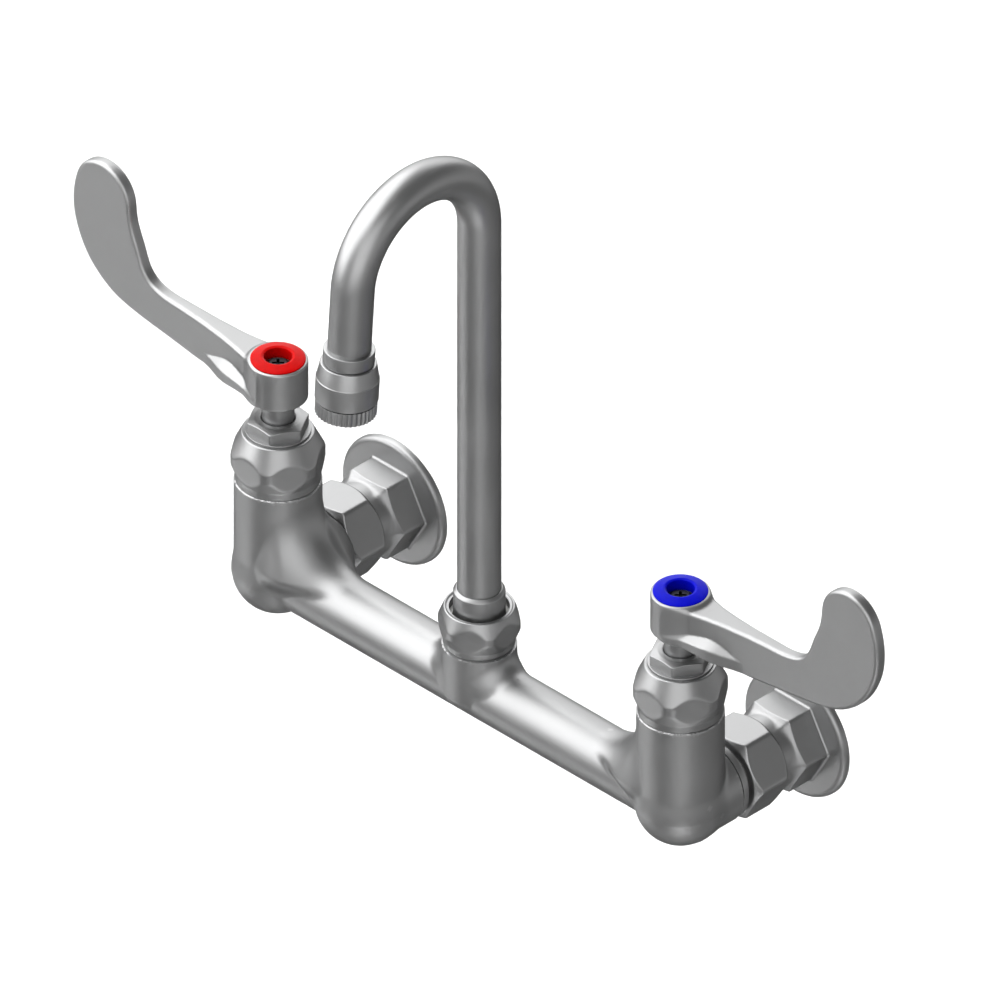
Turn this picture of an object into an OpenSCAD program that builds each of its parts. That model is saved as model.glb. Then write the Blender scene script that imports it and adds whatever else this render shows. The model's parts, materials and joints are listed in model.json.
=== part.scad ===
// Commercial wall faucet: a cast body with two quarter turn valves, flanged
// union inlets, a swivel gooseneck and two wrist blade handles.
// Frame: the origin lies on the wall plane, midway between the two inlets and at
// the height of their axes. +X runs along the body to the cold side, +Z is up,
// and the faucet stands out from the wall towards -Y.
// Distances called "from the wall" are measured from that plane along -Y.

/* [Body casting] */
// Distance between the two inlet axes, which is also the valve spacing
inlet_spacing = 203.2; // [185:0.1:230]
// Distance from the wall to the valve and spout axes
wall_to_valve = 60.3; // [57:0.1:75]
// Outside diameter of the horizontal body tube
tube_d = 23; // [21:0.5:26]
// Outside diameter of the two valve housings
housing_d = 31.8; // [30.5:0.1:36]
// Height of the housing tops above the inlet axes
housing_h = 39.5; // [37:0.5:48]
// How far the round elbow under a housing stands proud of it
elbow_bulge = 0.7; // [0.2:0.1:1.5]
// Radius of the cast blend from the tube up to a housing
housing_blend_r = 23; // [14:0.5:26]
// Outside diameter of the spout boss
boss_d = 27.2; // [26:0.1:31]
// Height of the spout boss top above the inlet axes
boss_h = 18.4; // [17:0.1:24]
// Radius of the cast blend from the tube up to the boss
boss_blend_r = 6.5; // [3:0.5:9]
// Length of an inlet leg, from the valve axis to its collar
leg_l = 16.3; // [15:0.1:20]
// Bore of the inlet leg
leg_bore_d = 16; // [12:0.5:18]
// Bore of the mixed water passage through the tube
passage_d = 12; // [8:0.5:14]

/* [Inlet unions] */
// Diameter of the round wall plate of an inlet flange
flange_d = 50.8; // [44:0.1:60]
// Thickness of the wall plate at its rim
flange_t = 3.4; // [2.5:0.1:5]
// Distance across the flats of the cast hexagon on the flange
flange_hex_af = 31; // [28:0.5:34]
// Distance from the wall to the front of that hexagon
flange_hex_l = 15.6; // [13:0.1:18]
// Bore of the supply pipe thread, at its tap drill size
inlet_thread_d = 18.26; // [17:0.01:19]
// Depth of the supply pipe thread
inlet_thread_l = 13; // [10:0.5:15]
// Distance across the flats of the union nut
union_af = 32; // [30.5:0.5:36]
// Length of the union nut
union_nut_l = 16.8; // [15.5:0.1:18]
// Diameter of the male union thread on the body leg
union_thread_d = 26; // [24:0.1:28]

/* [Valves] */
// Distance across the flats of the bonnet nut
bonnet_af = 31.75; // [30.5:0.05:36]
// Height of the round collar under the bonnet nut
bonnet_collar_h = 3; // [1.5:0.1:4]
// Height of the lower chamfer of the bonnet nut
bonnet_chamfer_h = 5; // [3:0.1:6]
// Height of the straight band of the bonnet nut
bonnet_band_h = 4; // [2.5:0.1:6]
// Height of the coned top of the bonnet nut
bonnet_cone_h = 8.6; // [6:0.1:10]
// Distance across the flats of the packing nut
packing_af = 20; // [19:0.1:21]
// Height of the packing nut hexagon
packing_hex_h = 5.1; // [4:0.1:7]
// Diameter of the valve stem
stem_d = 11.8; // [11:0.1:12.4]
// Length of bare stem between the packing nut and the handle
stem_show = 9; // [4:0.5:14]
// Diameter of the ceramic discs
disc_d = 17.4; // [16.8:0.1:17.8]
// Angle that a handle turns from closed to open
valve_turn = 90; // [60:5:90]

/* [Handles] */
// Reach of a blade from the valve axis to its outer edge
handle_reach = 101.6; // [85:0.1:120]
// Height of the blade top above the underside of the hub
blade_rise = 59; // [48:0.5:70]
// Greatest width of the blade
blade_w = 30; // [24:0.5:36]
// Thickness of the blade
blade_t = 4.8; // [3.5:0.1:7]
// Diameter of the handle hub
hub_d = 21.7; // [20.5:0.1:25]
// Height of the handle hub
hub_h = 16; // [15:0.5:20]
// Height of the index ring above the hub
index_h = 1.6; // [1:0.1:3]
// Diameter of the open hole in the index ring
index_hole_d = 10.4; // [9.6:0.1:11.4]

/* [Gooseneck] */
// Outside diameter of the gooseneck tube
neck_d = 15.875; // [15:0.005:16.5]
// Wall of the gooseneck tube
neck_wall = 1.1; // [0.8:0.1:1.6]
// Height of the bend centre above the inlet axes
bend_h = 201.2; // [150:0.1:260]
// Radius of the bend, to the centre of the tube
bend_r = 32; // [26:0.1:60]
// Lean of the straight outlet end away from the vertical
outlet_lean = 3.93; // [0:0.01:8]
// Length of the straight outlet end up to the aerator housing
outlet_l = 29.7; // [24:0.1:60]
// Distance across the flats of the spout nut
spout_nut_af = 27.6; // [26:0.1:31]
// Diameter of the male thread above the boss
spout_thread_d = 24.2; // [24:0.1:24.6]
// Diameter of the bore in the boss that the sleeve turns in
swivel_bore_d = 19.2; // [19:0.1:20.2]
// Diameter of the brazed sleeve round the tube
sleeve_d = 18.8; // [18.2:0.1:19.4]
// Angle that the spout swings to each side before it meets the wall
spout_swing = 130; // [90:5:135]

/* [Aerator] */
// Diameter of the outlet collar
collar_d = 18.8; // [18.2:0.1:20]
// Diameter of the aerator housing
aerator_d = 23; // [22.4:0.1:26]
// Length of the aerator housing
aerator_l = 15.1; // [13.5:0.1:20]
// Length of the knurled ring that shows under the housing
knurl_l = 5.7; // [4:0.1:8]
// Number of ribs on the knurled ring
knurl_count = 40; // [24:2:60]

/* [Clearances] */
// Radial running clearance of a part that turns in a bore
run_gap = 0.05; // [0.02:0.01:0.09]
// Radial clearance of a screwed, brazed or pushed joint
thread_gap = 0.05; // [0.02:0.01:0.09]
// Axial gap between faces that turn past each other
face_gap = 0.1; // [0.05:0.01:0.2]

/* [Hidden] */
hot = -1;
cold = 1;

// Overrun of cuts past the faces that they open
cut = 1;
// Fine and plain roundness of curved surfaces
$fn = 64;

// Values of the casting
valve_x = inlet_spacing / 2;
tube_r = tube_d / 2;
housing_r = housing_d / 2;
elbow_r = housing_r + elbow_bulge;
boss_r = boss_d / 2;
passage_r = passage_d / 2;
leg_bore_r = leg_bore_d / 2;
tube_sides = 32;
// Share of a blend's quarter circle that is followed before it runs on straight
blend_follow_share = 0.93;
// How deep the blend runs into the housing and the boss, as shares of their radii
housing_bury_share = 0.4;
boss_bury_share = 0.3;
// Small blend round the underside of the tube, and how far it swells
under_blend_r = 6;
under_swell = 1.3;
// Length along the tube over which it swells back to the inlet leg
leg_blend_l = 23;
// Height of the rounded keel under the boss
keel_h = 9;
// Bore of the slanted channel from a valve to the tube
channel_d = 9.6;

// Values of the inlet unions, as distances from the wall
union_thread_r = union_thread_d / 2;
collar_w = 2.9;
collar_step = 0.4;
groove_w = 0.5;
groove_depth = 1.2;
union_thread_l = 12.1;
thread_chamfer = 0.8;
tail_lip_gap = 0.4;
tail_neck_gap = 0.1;
quarter_steps = 5;
union_washer_t = 1.6;
tail_lip_t = 2.5;
union_shoulder_t = 3.1;
tail_neck_d = 21;
tail_bore_d = 15.8;
flange_fillet = 1.3;
flange_edge = 0.9;
flange_neck_share = 0.93;
flange_neck_gap = 0.4;
flare_slope = 0.8;
leg_end = wall_to_valve - leg_l;
collar_end = leg_end - collar_w;
thread_end = collar_end - union_thread_l;
washer_end = thread_end - union_washer_t;
lip_end = washer_end - tail_lip_t;
nut_rear = lip_end - union_shoulder_t;
nut_front = nut_rear + union_nut_l;
flange_round = min(flange_t - flange_edge, (flange_d - flange_hex_af) / 2 - flange_fillet * 2);
flange_neck_r = flange_hex_af / 2 * flange_neck_share;
flare_l = (flange_hex_af / 2 / cos(30) - flange_neck_r) * flare_slope;

// Values of the valves, as heights above the inlet axes
seat_h = 14;
seat_bore_d = 13;
seal_t = 3;
disc_t = 3.2;
chamber_r = 12.4;
shank_r = 13;
shank_l = 8.5;
shank_end = housing_h - shank_l;
cartridge_r = 10.4;
cartridge_rise = 6.5;
cartridge_top = housing_h + cartridge_rise;
cartridge_hang = 0.6;
window_w = 11;
window_low = 2;
window_h = 4.6;
thrust_t = 3.9;
stop_h = 4;
stop_bore_r = 6.6;
stop_lug_angle = 60;
stop_slack = 1;
stop_start = 90 - stop_lug_angle / 2 - stop_slack;
stop_pocket = stop_lug_angle + valve_turn + stop_slack * 2;
port_angle = 76;
key_w = 3;
key_proud = 0.9;
tongue_w = 3.6;
tongue_h = 1.4;
tongue_rib_h = 2;
spindle_r = 3.4;
disc_rest = 180 - valve_turn;
disc_r = disc_d / 2;
stem_r = stem_d / 2;
collar_inset = 0.4;
bonnet_band_r = 17.3;
bonnet_top_r = 13;
packing_chamber_r = 8.3;
packing_chamber_depth = 8.1;
packing_ring_t = 3;
packing_flange_r = 11.9;
packing_flange_h = 0.8;
packing_top_r = 8.4;
packing_cone_h = 1.1;
o_ring_section = 1.4;
o_ring_up = 2;
fixed_disc_low = seat_h + seal_t;
moving_disc_low = fixed_disc_low + disc_t + run_gap;
moving_disc_top = moving_disc_low + disc_t;
thrust_top = cartridge_top - face_gap;
thrust_low = thrust_top - thrust_t;
bonnet_top = housing_h + bonnet_collar_h + bonnet_chamfer_h + bonnet_band_h + bonnet_cone_h;
packing_low = bonnet_top - packing_chamber_depth;
packing_top = bonnet_top + packing_flange_h + packing_hex_h;
hub_low = packing_top + stem_show;

// Values of the handle
hub_r = hub_d / 2;
hub_seat_h = 2;
hub_edge = 0.8;
spline_teeth = 12;
spline_depth = 0.5;
spline_r = 4.4;
spline_l = 8;
spline_end_gap = 0.4;
hub_web_t = 1.6;
screw_shank_r = 2.1;
screw_reach = 9;
screw_head_r = 4.4;
screw_head_h = 2.4;
screw_slot_w = 1.1;
screw_slot_depth = 1.2;
screw_edge = 1.2;
screw_gap = 0.2;
index_rim = 0.85;
index_skirt_l = 3;
index_skirt_r = 7.4;
// Places along the blade: share of the reach, share of the rise, share of the width
blade_shares = [
    [0.000, 0.124, 0.493],
    [0.140, 0.124, 0.513],
    [0.250, 0.121, 0.563],
    [0.355, 0.122, 0.593],
    [0.455, 0.135, 0.572],
    [0.560, 0.150, 0.545],
    [0.660, 0.190, 0.620],
    [0.740, 0.270, 0.830],
    [0.803, 0.396, 0.985],
    [0.847, 0.550, 1.000],
    [0.857, 0.680, 0.970],
    [0.853, 0.772, 0.910]
];
blade_steps = 3;
blade_tip_steps = 7;
blade_corner_steps = 4;
// Share of the reach over which the neck thins down to the blade
neck_thin_share = 0.57;
// How fast it thins at first
neck_thin_power = 2.45;
// Share of the hub width that the neck is wide at the hub's centre
neck_root_share = 0.96;
// Share of a section's smaller half size that its rounded corner takes
blade_corner_share = 0.6;
// Edge radius of the blade
blade_edge_r = 1.9;
// The ledge that runs along the foot of the neck: how far it stands out, the share of
// the reach at which it ends, and how far out it is widest
ledge_out = 3.1;
ledge_end_share = 0.33;
ledge_swell = 1.35;
// Height of the ledge's edge, as a share of the flat side below its middle, and how
// steeply and how far the ledge climbs the side
ledge_low_share = 0.59;
ledge_slope = 0.95;
ledge_lap = 0.4;
// Roundness of the blade's tip, as a share of a quarter turn per step left at the end
tip_rest_share = 0.35;

// Values of the spout
neck_r = neck_d / 2;
neck_bore_r = neck_r - neck_wall;
spout_thread_l = 7.6;
swivel_bore_end = 5;
swivel_bore_r = swivel_bore_d / 2;
sleeve_r = sleeve_d / 2;
sleeve_low = 6;
neck_low = 14.5;
sleeve_flange_r = 11.7;
sleeve_flange_t = 3.2;
sleeve_l = 12.9;
sleeve_tip_h = 1.2;
sleeve_tip_wall = 0.4;
bearing_t = 1.2;
spout_nut_wall_h = 3.8;
spout_nut_rim = 0.5;
spout_nut_ring_h = 1.8;
spout_nut_chamfer_h = 5;
spout_nut_band_h = 2.8;
spout_nut_cone_h = 5.6;
spout_nut_ring_r = 13.1;
spout_nut_band_r = 15.1;
spout_nut_top_r = 12.8;
spout_nut_hole_r = 10.9;
spout_o_ring_count = 2;
spout_o_ring_pitch = 3.6;
spout_thread_r = spout_thread_d / 2;
spout_neck_top = boss_h + spout_thread_l;
sleeve_flange_low = spout_neck_top + face_gap;
sleeve_flange_top = sleeve_flange_low + sleeve_flange_t;
bearing_low = sleeve_flange_top + face_gap;
bearing_top = bearing_low + bearing_t;
spout_nut_top = bearing_top + spout_nut_wall_h;
bend_sweep = 180 - outlet_lean;
seam_lap = 0.8;
seam_step = 0.02;

// Values of the outlet, as distances along the outlet end from the bend
collar_l = 5.7;
collar_lip = 2.7;
outlet_thread_r = 9;
outlet_thread_l = 8.3;
aerator_cone_l = 6.1;
aerator_cone_r = 10.2;
aerator_washer_t = 1.5;
aerator_thread_r = 10.2;
aerator_seam = 0.7;
knurl_r = 11.2;
knurl_depth = 0.45;
core_r = 8.6;
outlet_lip_t = 1;
outlet_lip_r = 7.6;
screen_t = 0.6;
core_tube_r = 0.9;
core_rings = 2;
core_step = 3;
aerator_r = aerator_d / 2;
outlet_thread_end = outlet_l + outlet_thread_l;
aerator_end = outlet_l + aerator_l;
knurl_low = aerator_end + aerator_seam;
knurl_end = knurl_low + knurl_l;
washer_low_end = outlet_thread_end + aerator_washer_t;

// Places a child on a valve axis. The cold valve is the mirror of the hot one.
module at_valve(side) {
    translate([side * valve_x, -wall_to_valve, 0])
        mirror([side == cold ? 1 : 0, 0, 0])
            children();
}

// Places a child on an inlet axis, with its own +Z pointing away from the wall
module at_inlet(side) {
    translate([side * valve_x, 0, 0])
        rotate([90, 0, 0])
            children();
}

// Places a child on the spout axis
module at_spout() {
    translate([0, -wall_to_valve, 0])
        children();
}

// Places a child on the outlet end, at a distance from the bend along the flow
module at_outlet(distance) {
    at_spout()
        translate([0, -bend_r, bend_h])
            rotate([bend_sweep, 0, 0])
                translate([0, bend_r, distance])
                    children();
}

// A ring between two radii and two heights
module ring(outer, inner, low, high) {
    rotate_extrude()
        polygon([[inner, low], [outer, low], [outer, high], [inner, high]]);
}

// A hexagonal bar cut by a revolved profile, which gives it its coned ends
module hex_turned(af, profile) {
    low = min([for (p = profile) p[1]]);
    high = max([for (p = profile) p[1]]);
    intersection() {
        translate([0, 0, low])
            cylinder(h = high - low, d = af / cos(30), $fn = 6);
        rotate_extrude()
            polygon(profile);
    }
}

// A rubber ring that lies in a groove on a shaft
module o_ring(shaft_r, height, section) {
    translate([0, 0, height])
        rotate_extrude()
            translate([shaft_r - section / 2, 0])
                circle(d = section, $fn = 24);
}

// The groove that an O-ring lies in, to be cut from the shaft
module o_groove(shaft_r, height, section) {
    ring(shaft_r + cut, shaft_r - section, height - section / 2, height + section / 2);
}

// A round hole between two points of the plane through the valves
module passage(start, end, radius) {
    run = end - start;
    translate(start)
        rotate([0, atan2(run[0], run[2]), 0])
            cylinder(h = norm(run), r = radius);
}

// A closed skin over a row of rings with the same number of points
module skin(rings) {
    count = len(rings[0]);
    last = len(rings) - 1;
    points = [for (one = rings) each one];
    sides = [
        for (i = [0:last - 1], j = [0:count - 1])
            let (a = i * count + j, b = i * count + (j + 1) % count)
                each [[a, a + count, b], [b, a + count, b + count]]
    ];
    ends = [
        for (j = [1:count - 2])
            each [
                [0, j, j + 1],
                [last * count, last * count + j + 1, last * count + j]
            ]
    ];
    polyhedron(points = points, faces = concat(sides, ends), convexity = 6);
}

// Rise of a concave blend at a distance from the wall that it climbs
function blend_rise(distance, radius) =
    let (u = min((radius - distance) / radius, 1 + housing_bury_share / 2))
    let (b = blend_follow_share)
    let (slope = b / sqrt(1 - b * b))
    u <= 0 ? 0 :
    u <= b ? radius * (1 - sqrt(1 - u * u)) :
    radius * (1 - sqrt(1 - b * b) + (u - b) * slope);

// Distance from a place on the tube to a round post that crosses it
function post_gap(x, post_x, post_r, aside) =
    post_x - sqrt(max(post_r * post_r - aside * aside, 0)) - x;

// A point of the cast tube, at a place along it and an angle round it. The skin is
// lifted where it climbs a housing or the boss, and drawn back to the inlet leg.
function tube_point(x, a) =
    let (c = cos(a), s = sin(a))
    let (up = sqrt(max(s, 0)), back = sqrt(max(c, 0)))
    let (housing = blend_rise(post_gap(x, valve_x, housing_r, tube_r * c), housing_blend_r))
    let (boss_gap = x - sqrt(max(boss_r * boss_r - tube_r * tube_r * c * c, 0)))
    let (boss = blend_rise(boss_gap, boss_blend_r))
    let (leg_gap = post_gap(x, valve_x, housing_r, tube_r * s))
    let (leg_u = min(max(1 - leg_gap / leg_blend_l, 0), 1))
    let (under = blend_rise(post_gap(x, valve_x, elbow_r, tube_r), under_blend_r))
    let (r = tube_r + (1 - up) * (1 - back) * min(under, under_swell))
    let (lift = min(housing, housing_h - tube_r - cut) + min(boss, boss_h - tube_r - cut))
        [r * c + back * (leg_l - tube_r) * leg_u * leg_u, r * s + up * lift];

// One ring of the cast tube
function tube_ring(x) = [
    for (k = [0:tube_sides - 1])
        let (p = tube_point(abs(x), 360 * k / tube_sides))
            [x, p[0], p[1]]
];

module cast_tube() {
    boss_in = boss_r * (1 - boss_bury_share);
    boss_out = boss_r + boss_blend_r;
    blend_in = valve_x - housing_r - max(housing_blend_r, leg_blend_l);
    blend_out = valve_x - housing_r * (1 - housing_bury_share);
    half = concat(
        [for (i = [0:5]) boss_in + (boss_out - boss_in) * i / 5],
        [for (i = [0:11]) blend_in + (blend_out - blend_in) * i / 11]
    );
    last = len(half) - 1;
    stations = concat([for (i = [0:last]) -half[last - i]], [0], half);
    skin([for (x = stations) tube_ring(x)]);
}

module inlet_leg_blank() {
    rotate_extrude()
        polygon([
            [0, thread_end],
            [union_thread_r - thread_chamfer, thread_end],
            [union_thread_r, thread_end + thread_chamfer],
            [union_thread_r, collar_end],
            [housing_r - collar_step, collar_end],
            [housing_r - collar_step, leg_end - groove_w],
            [housing_r - groove_depth, leg_end - groove_w],
            [housing_r - groove_depth, leg_end],
            [housing_r, leg_end],
            [housing_r, wall_to_valve],
            [0, wall_to_valve]
        ]);
}

module boss_blank() {
    rotate_extrude()
        polygon(concat(
            [for (a = [0:15:90]) [boss_r * sin(a), -keel_h * cos(a)]],
            [
                [boss_r, boss_h],
                [spout_thread_r, boss_h],
                [spout_thread_r, spout_neck_top],
                [0, spout_neck_top]
            ]
        ));
}

// The waterways: inlet to seat, seat chamber to tube, and tube to spout
module waterways(side) {
    turn_x = side * (valve_x - housing_r - chamber_r);
    chamber_x = side * (valve_x - chamber_r / 2);
    chamber_z = seat_h + passage_r / 2;
    at_valve(side) {
        cylinder(h = seat_h + cut, d = seat_bore_d);
        sphere(r = leg_bore_r);
        translate([0, 0, seat_h])
            cylinder(h = housing_h - seat_h, r = chamber_r);
        translate([0, 0, shank_end])
            cylinder(h = housing_h - shank_end + cut, r = shank_r + thread_gap);
    }
    at_inlet(side)
        translate([0, 0, thread_end - cut])
            cylinder(h = wall_to_valve - thread_end + cut, r = leg_bore_r);
    at_spout() {
        passage([0, 0, 0], [turn_x, 0, 0], passage_r);
        translate([turn_x, 0, 0])
            sphere(r = passage_r);
        passage([turn_x, 0, 0], [chamber_x, 0, chamber_z], channel_d / 2);
    }
}

module body_casting() color("silver") difference() {
    union() {
        at_spout() {
            cast_tube();
            boss_blank();
        }
        for (side = [hot, cold]) {
            at_valve(side) {
                cylinder(h = housing_h, r = housing_r);
                sphere(r = elbow_r);
            }
            at_inlet(side)
                inlet_leg_blank();
        }
    }
    for (side = [hot, cold])
        waterways(side);
    at_spout() {
        cylinder(h = boss_h, r = passage_r);
        translate([0, 0, swivel_bore_end])
            cylinder(h = spout_neck_top, r = swivel_bore_r);
    }
}

// A quarter round of a turned profile, from one angle round its centre to another
function quarter(centre, radius, start, end) = [
    for (k = [0:quarter_steps])
        let (a = start + (end - start) * k / quarter_steps)
            [centre[0] + radius * cos(a), centre[1] + radius * sin(a)]
];

module inlet_flange(side) color("gainsboro") at_inlet(side) {
    plate_r = flange_d / 2;
    hex_r = flange_hex_af / 2;
    difference() {
        union() {
            rotate_extrude()
                polygon(concat(
                    [[0, 0], [plate_r - flange_edge / 2, 0]],
                    quarter([plate_r - flange_round, flange_t - flange_round],
                        flange_round, 0, 90),
                    quarter([hex_r + flange_fillet, flange_t + flange_fillet],
                        flange_fillet, 270, 180),
                    [[0, flange_t + flange_fillet]]
                ));
            hex_turned(flange_hex_af, [
                [0, flange_t / 2],
                [flange_hex_af, flange_t / 2],
                [hex_r / cos(30), flange_hex_l - flare_l / 2],
                [flange_neck_r + flare_l / 2, flange_hex_l],
                [flange_neck_r, flange_hex_l + flare_l / 2],
                [flange_neck_r, nut_rear - flange_neck_gap],
                [0, nut_rear - flange_neck_gap]
            ]);
            cylinder(h = lip_end, d = tail_neck_d);
            translate([0, 0, lip_end])
                cylinder(h = tail_lip_t, r = union_thread_r - tail_lip_gap);
        }
        translate([0, 0, -cut])
            cylinder(h = washer_end + cut * 2, d = tail_bore_d);
        translate([0, 0, -cut])
            cylinder(h = inlet_thread_l + cut, d = inlet_thread_d);
    }
}

module union_nut(side) color("silver") at_inlet(side) {
    corner_r = union_af / 2 / cos(30);
    chamfer = corner_r - union_af / 2 + flange_edge / 2;
    difference() {
        hex_turned(union_af, [
            [0, nut_rear],
            [corner_r - chamfer, nut_rear],
            [corner_r, nut_rear + chamfer],
            [corner_r, nut_front - chamfer * 0.8],
            [corner_r - chamfer, nut_front],
            [0, nut_front]
        ]);
        translate([0, 0, lip_end])
            cylinder(h = union_nut_l, r = union_thread_r + thread_gap);
        translate([0, 0, nut_rear - cut])
            cylinder(h = union_nut_l, r = tail_neck_d / 2 + tail_neck_gap);
    }
}

module union_washer(side) color("dimgray") at_inlet(side)
    ring(union_thread_r - thread_chamfer, leg_bore_r, washer_end, thread_end);

module seat_seal(side) color("dimgray") at_valve(side)
    ring(disc_r - run_gap, seat_bore_d / 2, seat_h, fixed_disc_low);

// The two open ports through a ceramic disc, as quarter circles
module disc_ports(low, turned) {
    for (half = [0, 180])
        rotate([0, 0, half + turned - port_angle / 2])
            translate([0, 0, low - cut])
                rotate_extrude(angle = port_angle)
                    polygon([
                        [key_w / 2, 0],
                        [seat_bore_d / 2, 0],
                        [seat_bore_d / 2, disc_t + cut * 2],
                        [key_w / 2, disc_t + cut * 2]
                    ]);
}

module fixed_disc(side) color("white") at_valve(side) difference() {
    union() {
        translate([0, 0, fixed_disc_low])
            cylinder(h = disc_t, r = disc_r);
        translate([-disc_r - key_proud, -key_w / 2, fixed_disc_low])
            cube([disc_d + key_proud * 2, key_w, disc_t]);
    }
    disc_ports(fixed_disc_low, 0);
}

module moving_disc(side) color("lightgray") at_valve(side) difference() {
    translate([0, 0, moving_disc_low])
        cylinder(h = disc_t, r = disc_r);
    disc_ports(moving_disc_low, disc_rest);
    rotate([0, 0, disc_rest])
        translate([-tongue_w / 2, -disc_d, moving_disc_top - tongue_h])
            cube([tongue_w, disc_d * 2, disc_t]);
}

module cartridge_body(side) color("goldenrod") at_valve(side) difference() {
    union() {
        ring(cartridge_r, disc_r + run_gap, seat_h + cartridge_hang, cartridge_top);
        rotate([0, 0, stop_start + stop_pocket])
            rotate_extrude(angle = 360 - stop_pocket)
                polygon([
                    [stop_bore_r, thrust_low - stop_h],
                    [cartridge_r, thrust_low - stop_h],
                    [cartridge_r, thrust_low - face_gap],
                    [stop_bore_r, thrust_low - face_gap]
                ]);
    }
    translate([0, 0, moving_disc_top + window_low])
        for (turned = [0, 90])
            rotate([0, 0, turned])
                translate([-window_w / 2, -shank_r, 0])
                    cube([window_w, shank_r * 2, window_h]);
    translate([-shank_r, -key_w / 2 - run_gap, 0])
        cube([shank_r * 2, key_w + run_gap * 2, fixed_disc_low + disc_t + run_gap]);
}

module bonnet_nut(side) color("silver") at_valve(side) {
    band_low = housing_h + bonnet_collar_h + bonnet_chamfer_h;
    difference() {
        union() {
            hex_turned(bonnet_af, [
                [0, housing_h],
                [housing_r - collar_inset, housing_h],
                [housing_r - collar_inset, housing_h + bonnet_collar_h],
                [bonnet_band_r, band_low],
                [bonnet_band_r, band_low + bonnet_band_h],
                [bonnet_top_r, bonnet_top],
                [0, bonnet_top]
            ]);
            translate([0, 0, shank_end])
                cylinder(h = housing_h - shank_end + cut, r = shank_r);
        }
        translate([0, 0, shank_end - cut])
            cylinder(h = cartridge_top - shank_end + cut, r = cartridge_r + thread_gap);
        cylinder(h = bonnet_top, r = stem_r + run_gap);
        translate([0, 0, packing_low])
            cylinder(h = packing_chamber_depth + cut, r = packing_chamber_r);
    }
}

module packing_ring(side) color("white") at_valve(side)
    ring(packing_chamber_r - thread_gap, stem_r + run_gap, packing_low, packing_low + packing_ring_t);

module packing_nut(side) color("silver") at_valve(side) {
    hex_low = bonnet_top + packing_flange_h;
    difference() {
        union() {
            hex_turned(packing_af, [
                [0, hex_low - packing_flange_h / 2],
                [packing_af, hex_low - packing_flange_h / 2],
                [packing_af / 2 / cos(30), packing_top - packing_cone_h],
                [packing_top_r, packing_top],
                [0, packing_top]
            ]);
            translate([0, 0, bonnet_top])
                cylinder(h = packing_flange_h, r = packing_flange_r);
            translate([0, 0, packing_low + packing_ring_t])
                cylinder(h = bonnet_top - packing_low - packing_ring_t + cut / 2,
                    r = packing_chamber_r - thread_gap);
        }
        cylinder(h = packing_top + cut, r = stem_r + run_gap);
    }
}

// The toothed end of the stem, and with a gap the socket that it drives
module spline(low, length, gap) {
    steps = spline_teeth * 2;
    translate([0, 0, low])
        linear_extrude(height = length)
            polygon([
                for (i = [0:steps - 1])
                    let (r = spline_r + gap - (i % 2) * spline_depth)
                        [r * cos(360 * i / steps), r * sin(360 * i / steps)]
            ]);
}

module stem(side) color("goldenrod") at_valve(side) difference() {
    union() {
        translate([0, 0, thrust_low])
            cylinder(h = hub_low + hub_seat_h - thrust_low, r = stem_r);
        translate([0, 0, moving_disc_top])
            cylinder(h = thrust_low - moving_disc_top, r = spindle_r);
        rotate([0, 0, disc_rest])
            translate([-tongue_w / 2 + run_gap, -stop_bore_r + run_gap, moving_disc_top - tongue_h])
                cube([tongue_w - run_gap * 2, (stop_bore_r - run_gap) * 2,
                    tongue_h + tongue_rib_h]);
        translate([0, 0, thrust_low])
            cylinder(h = thrust_t, r = disc_r - run_gap);
        rotate([0, 0, stop_start + stop_slack])
            rotate_extrude(angle = stop_lug_angle)
                polygon([
                    [spindle_r / 2, thrust_low - stop_h],
                    [disc_r - run_gap, thrust_low - stop_h],
                    [disc_r - run_gap, thrust_low],
                    [spindle_r / 2, thrust_low]
                ]);
        spline(hub_low + hub_seat_h, spline_l, 0);
    }
    o_groove(stem_r, cartridge_top + o_ring_up, o_ring_section);
    translate([0, 0, hub_low + hub_seat_h + spline_l - screw_reach])
        cylinder(h = screw_reach + cut, r = screw_shank_r + thread_gap);
}

module stem_o_ring(side) color("black") at_valve(side)
    o_ring(stem_r, cartridge_top + o_ring_up, o_ring_section);

// One step of a smooth curve through four places
function curve_step(a, b, c, d, t) =
    (b * 2 + (c - a) * t + (a * 2 - b * 5 + c * 4 - d) * t * t
        + (b * 3 - a - c * 3 + d) * t * t * t) / 2;

// The blade's places in real sizes: distance from the hub, height and width
blade_places = [
    for (s = blade_shares)
        [s[0] * handle_reach, s[1] * blade_rise, s[2] * blade_w]
];
blade_last = len(blade_places) - 1;
function blade_place(i) =
    i < 0 ? blade_places[0] * 2 - blade_places[1] :
    i > blade_last ? blade_places[blade_last] * 2 - blade_places[blade_last - 1] :
    blade_places[i];
blade_curve = concat(
    [
        for (i = [0:blade_last - 1], k = [0:blade_steps - 1])
            curve_step(blade_place(i - 1), blade_place(i), blade_place(i + 1),
                blade_place(i + 2), k / blade_steps)
    ],
    [blade_place(blade_last)]
);

// Thickness of the blade at a distance from the hub
function blade_thickness(distance) =
    let (u = min(max(distance, 0) / (handle_reach * neck_thin_share), 1))
        blade_t + (hub_d * neck_root_share - blade_t) * pow(1 - u, neck_thin_power);

// How far the ledge stands out of the neck's sides at a distance from the hub
function ledge_at(distance) =
    let (u = min(max(distance / (handle_reach * ledge_end_share), 0), 1))
        ledge_out * pow(sin(180 * pow(u, ledge_swell)), 2);

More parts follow.
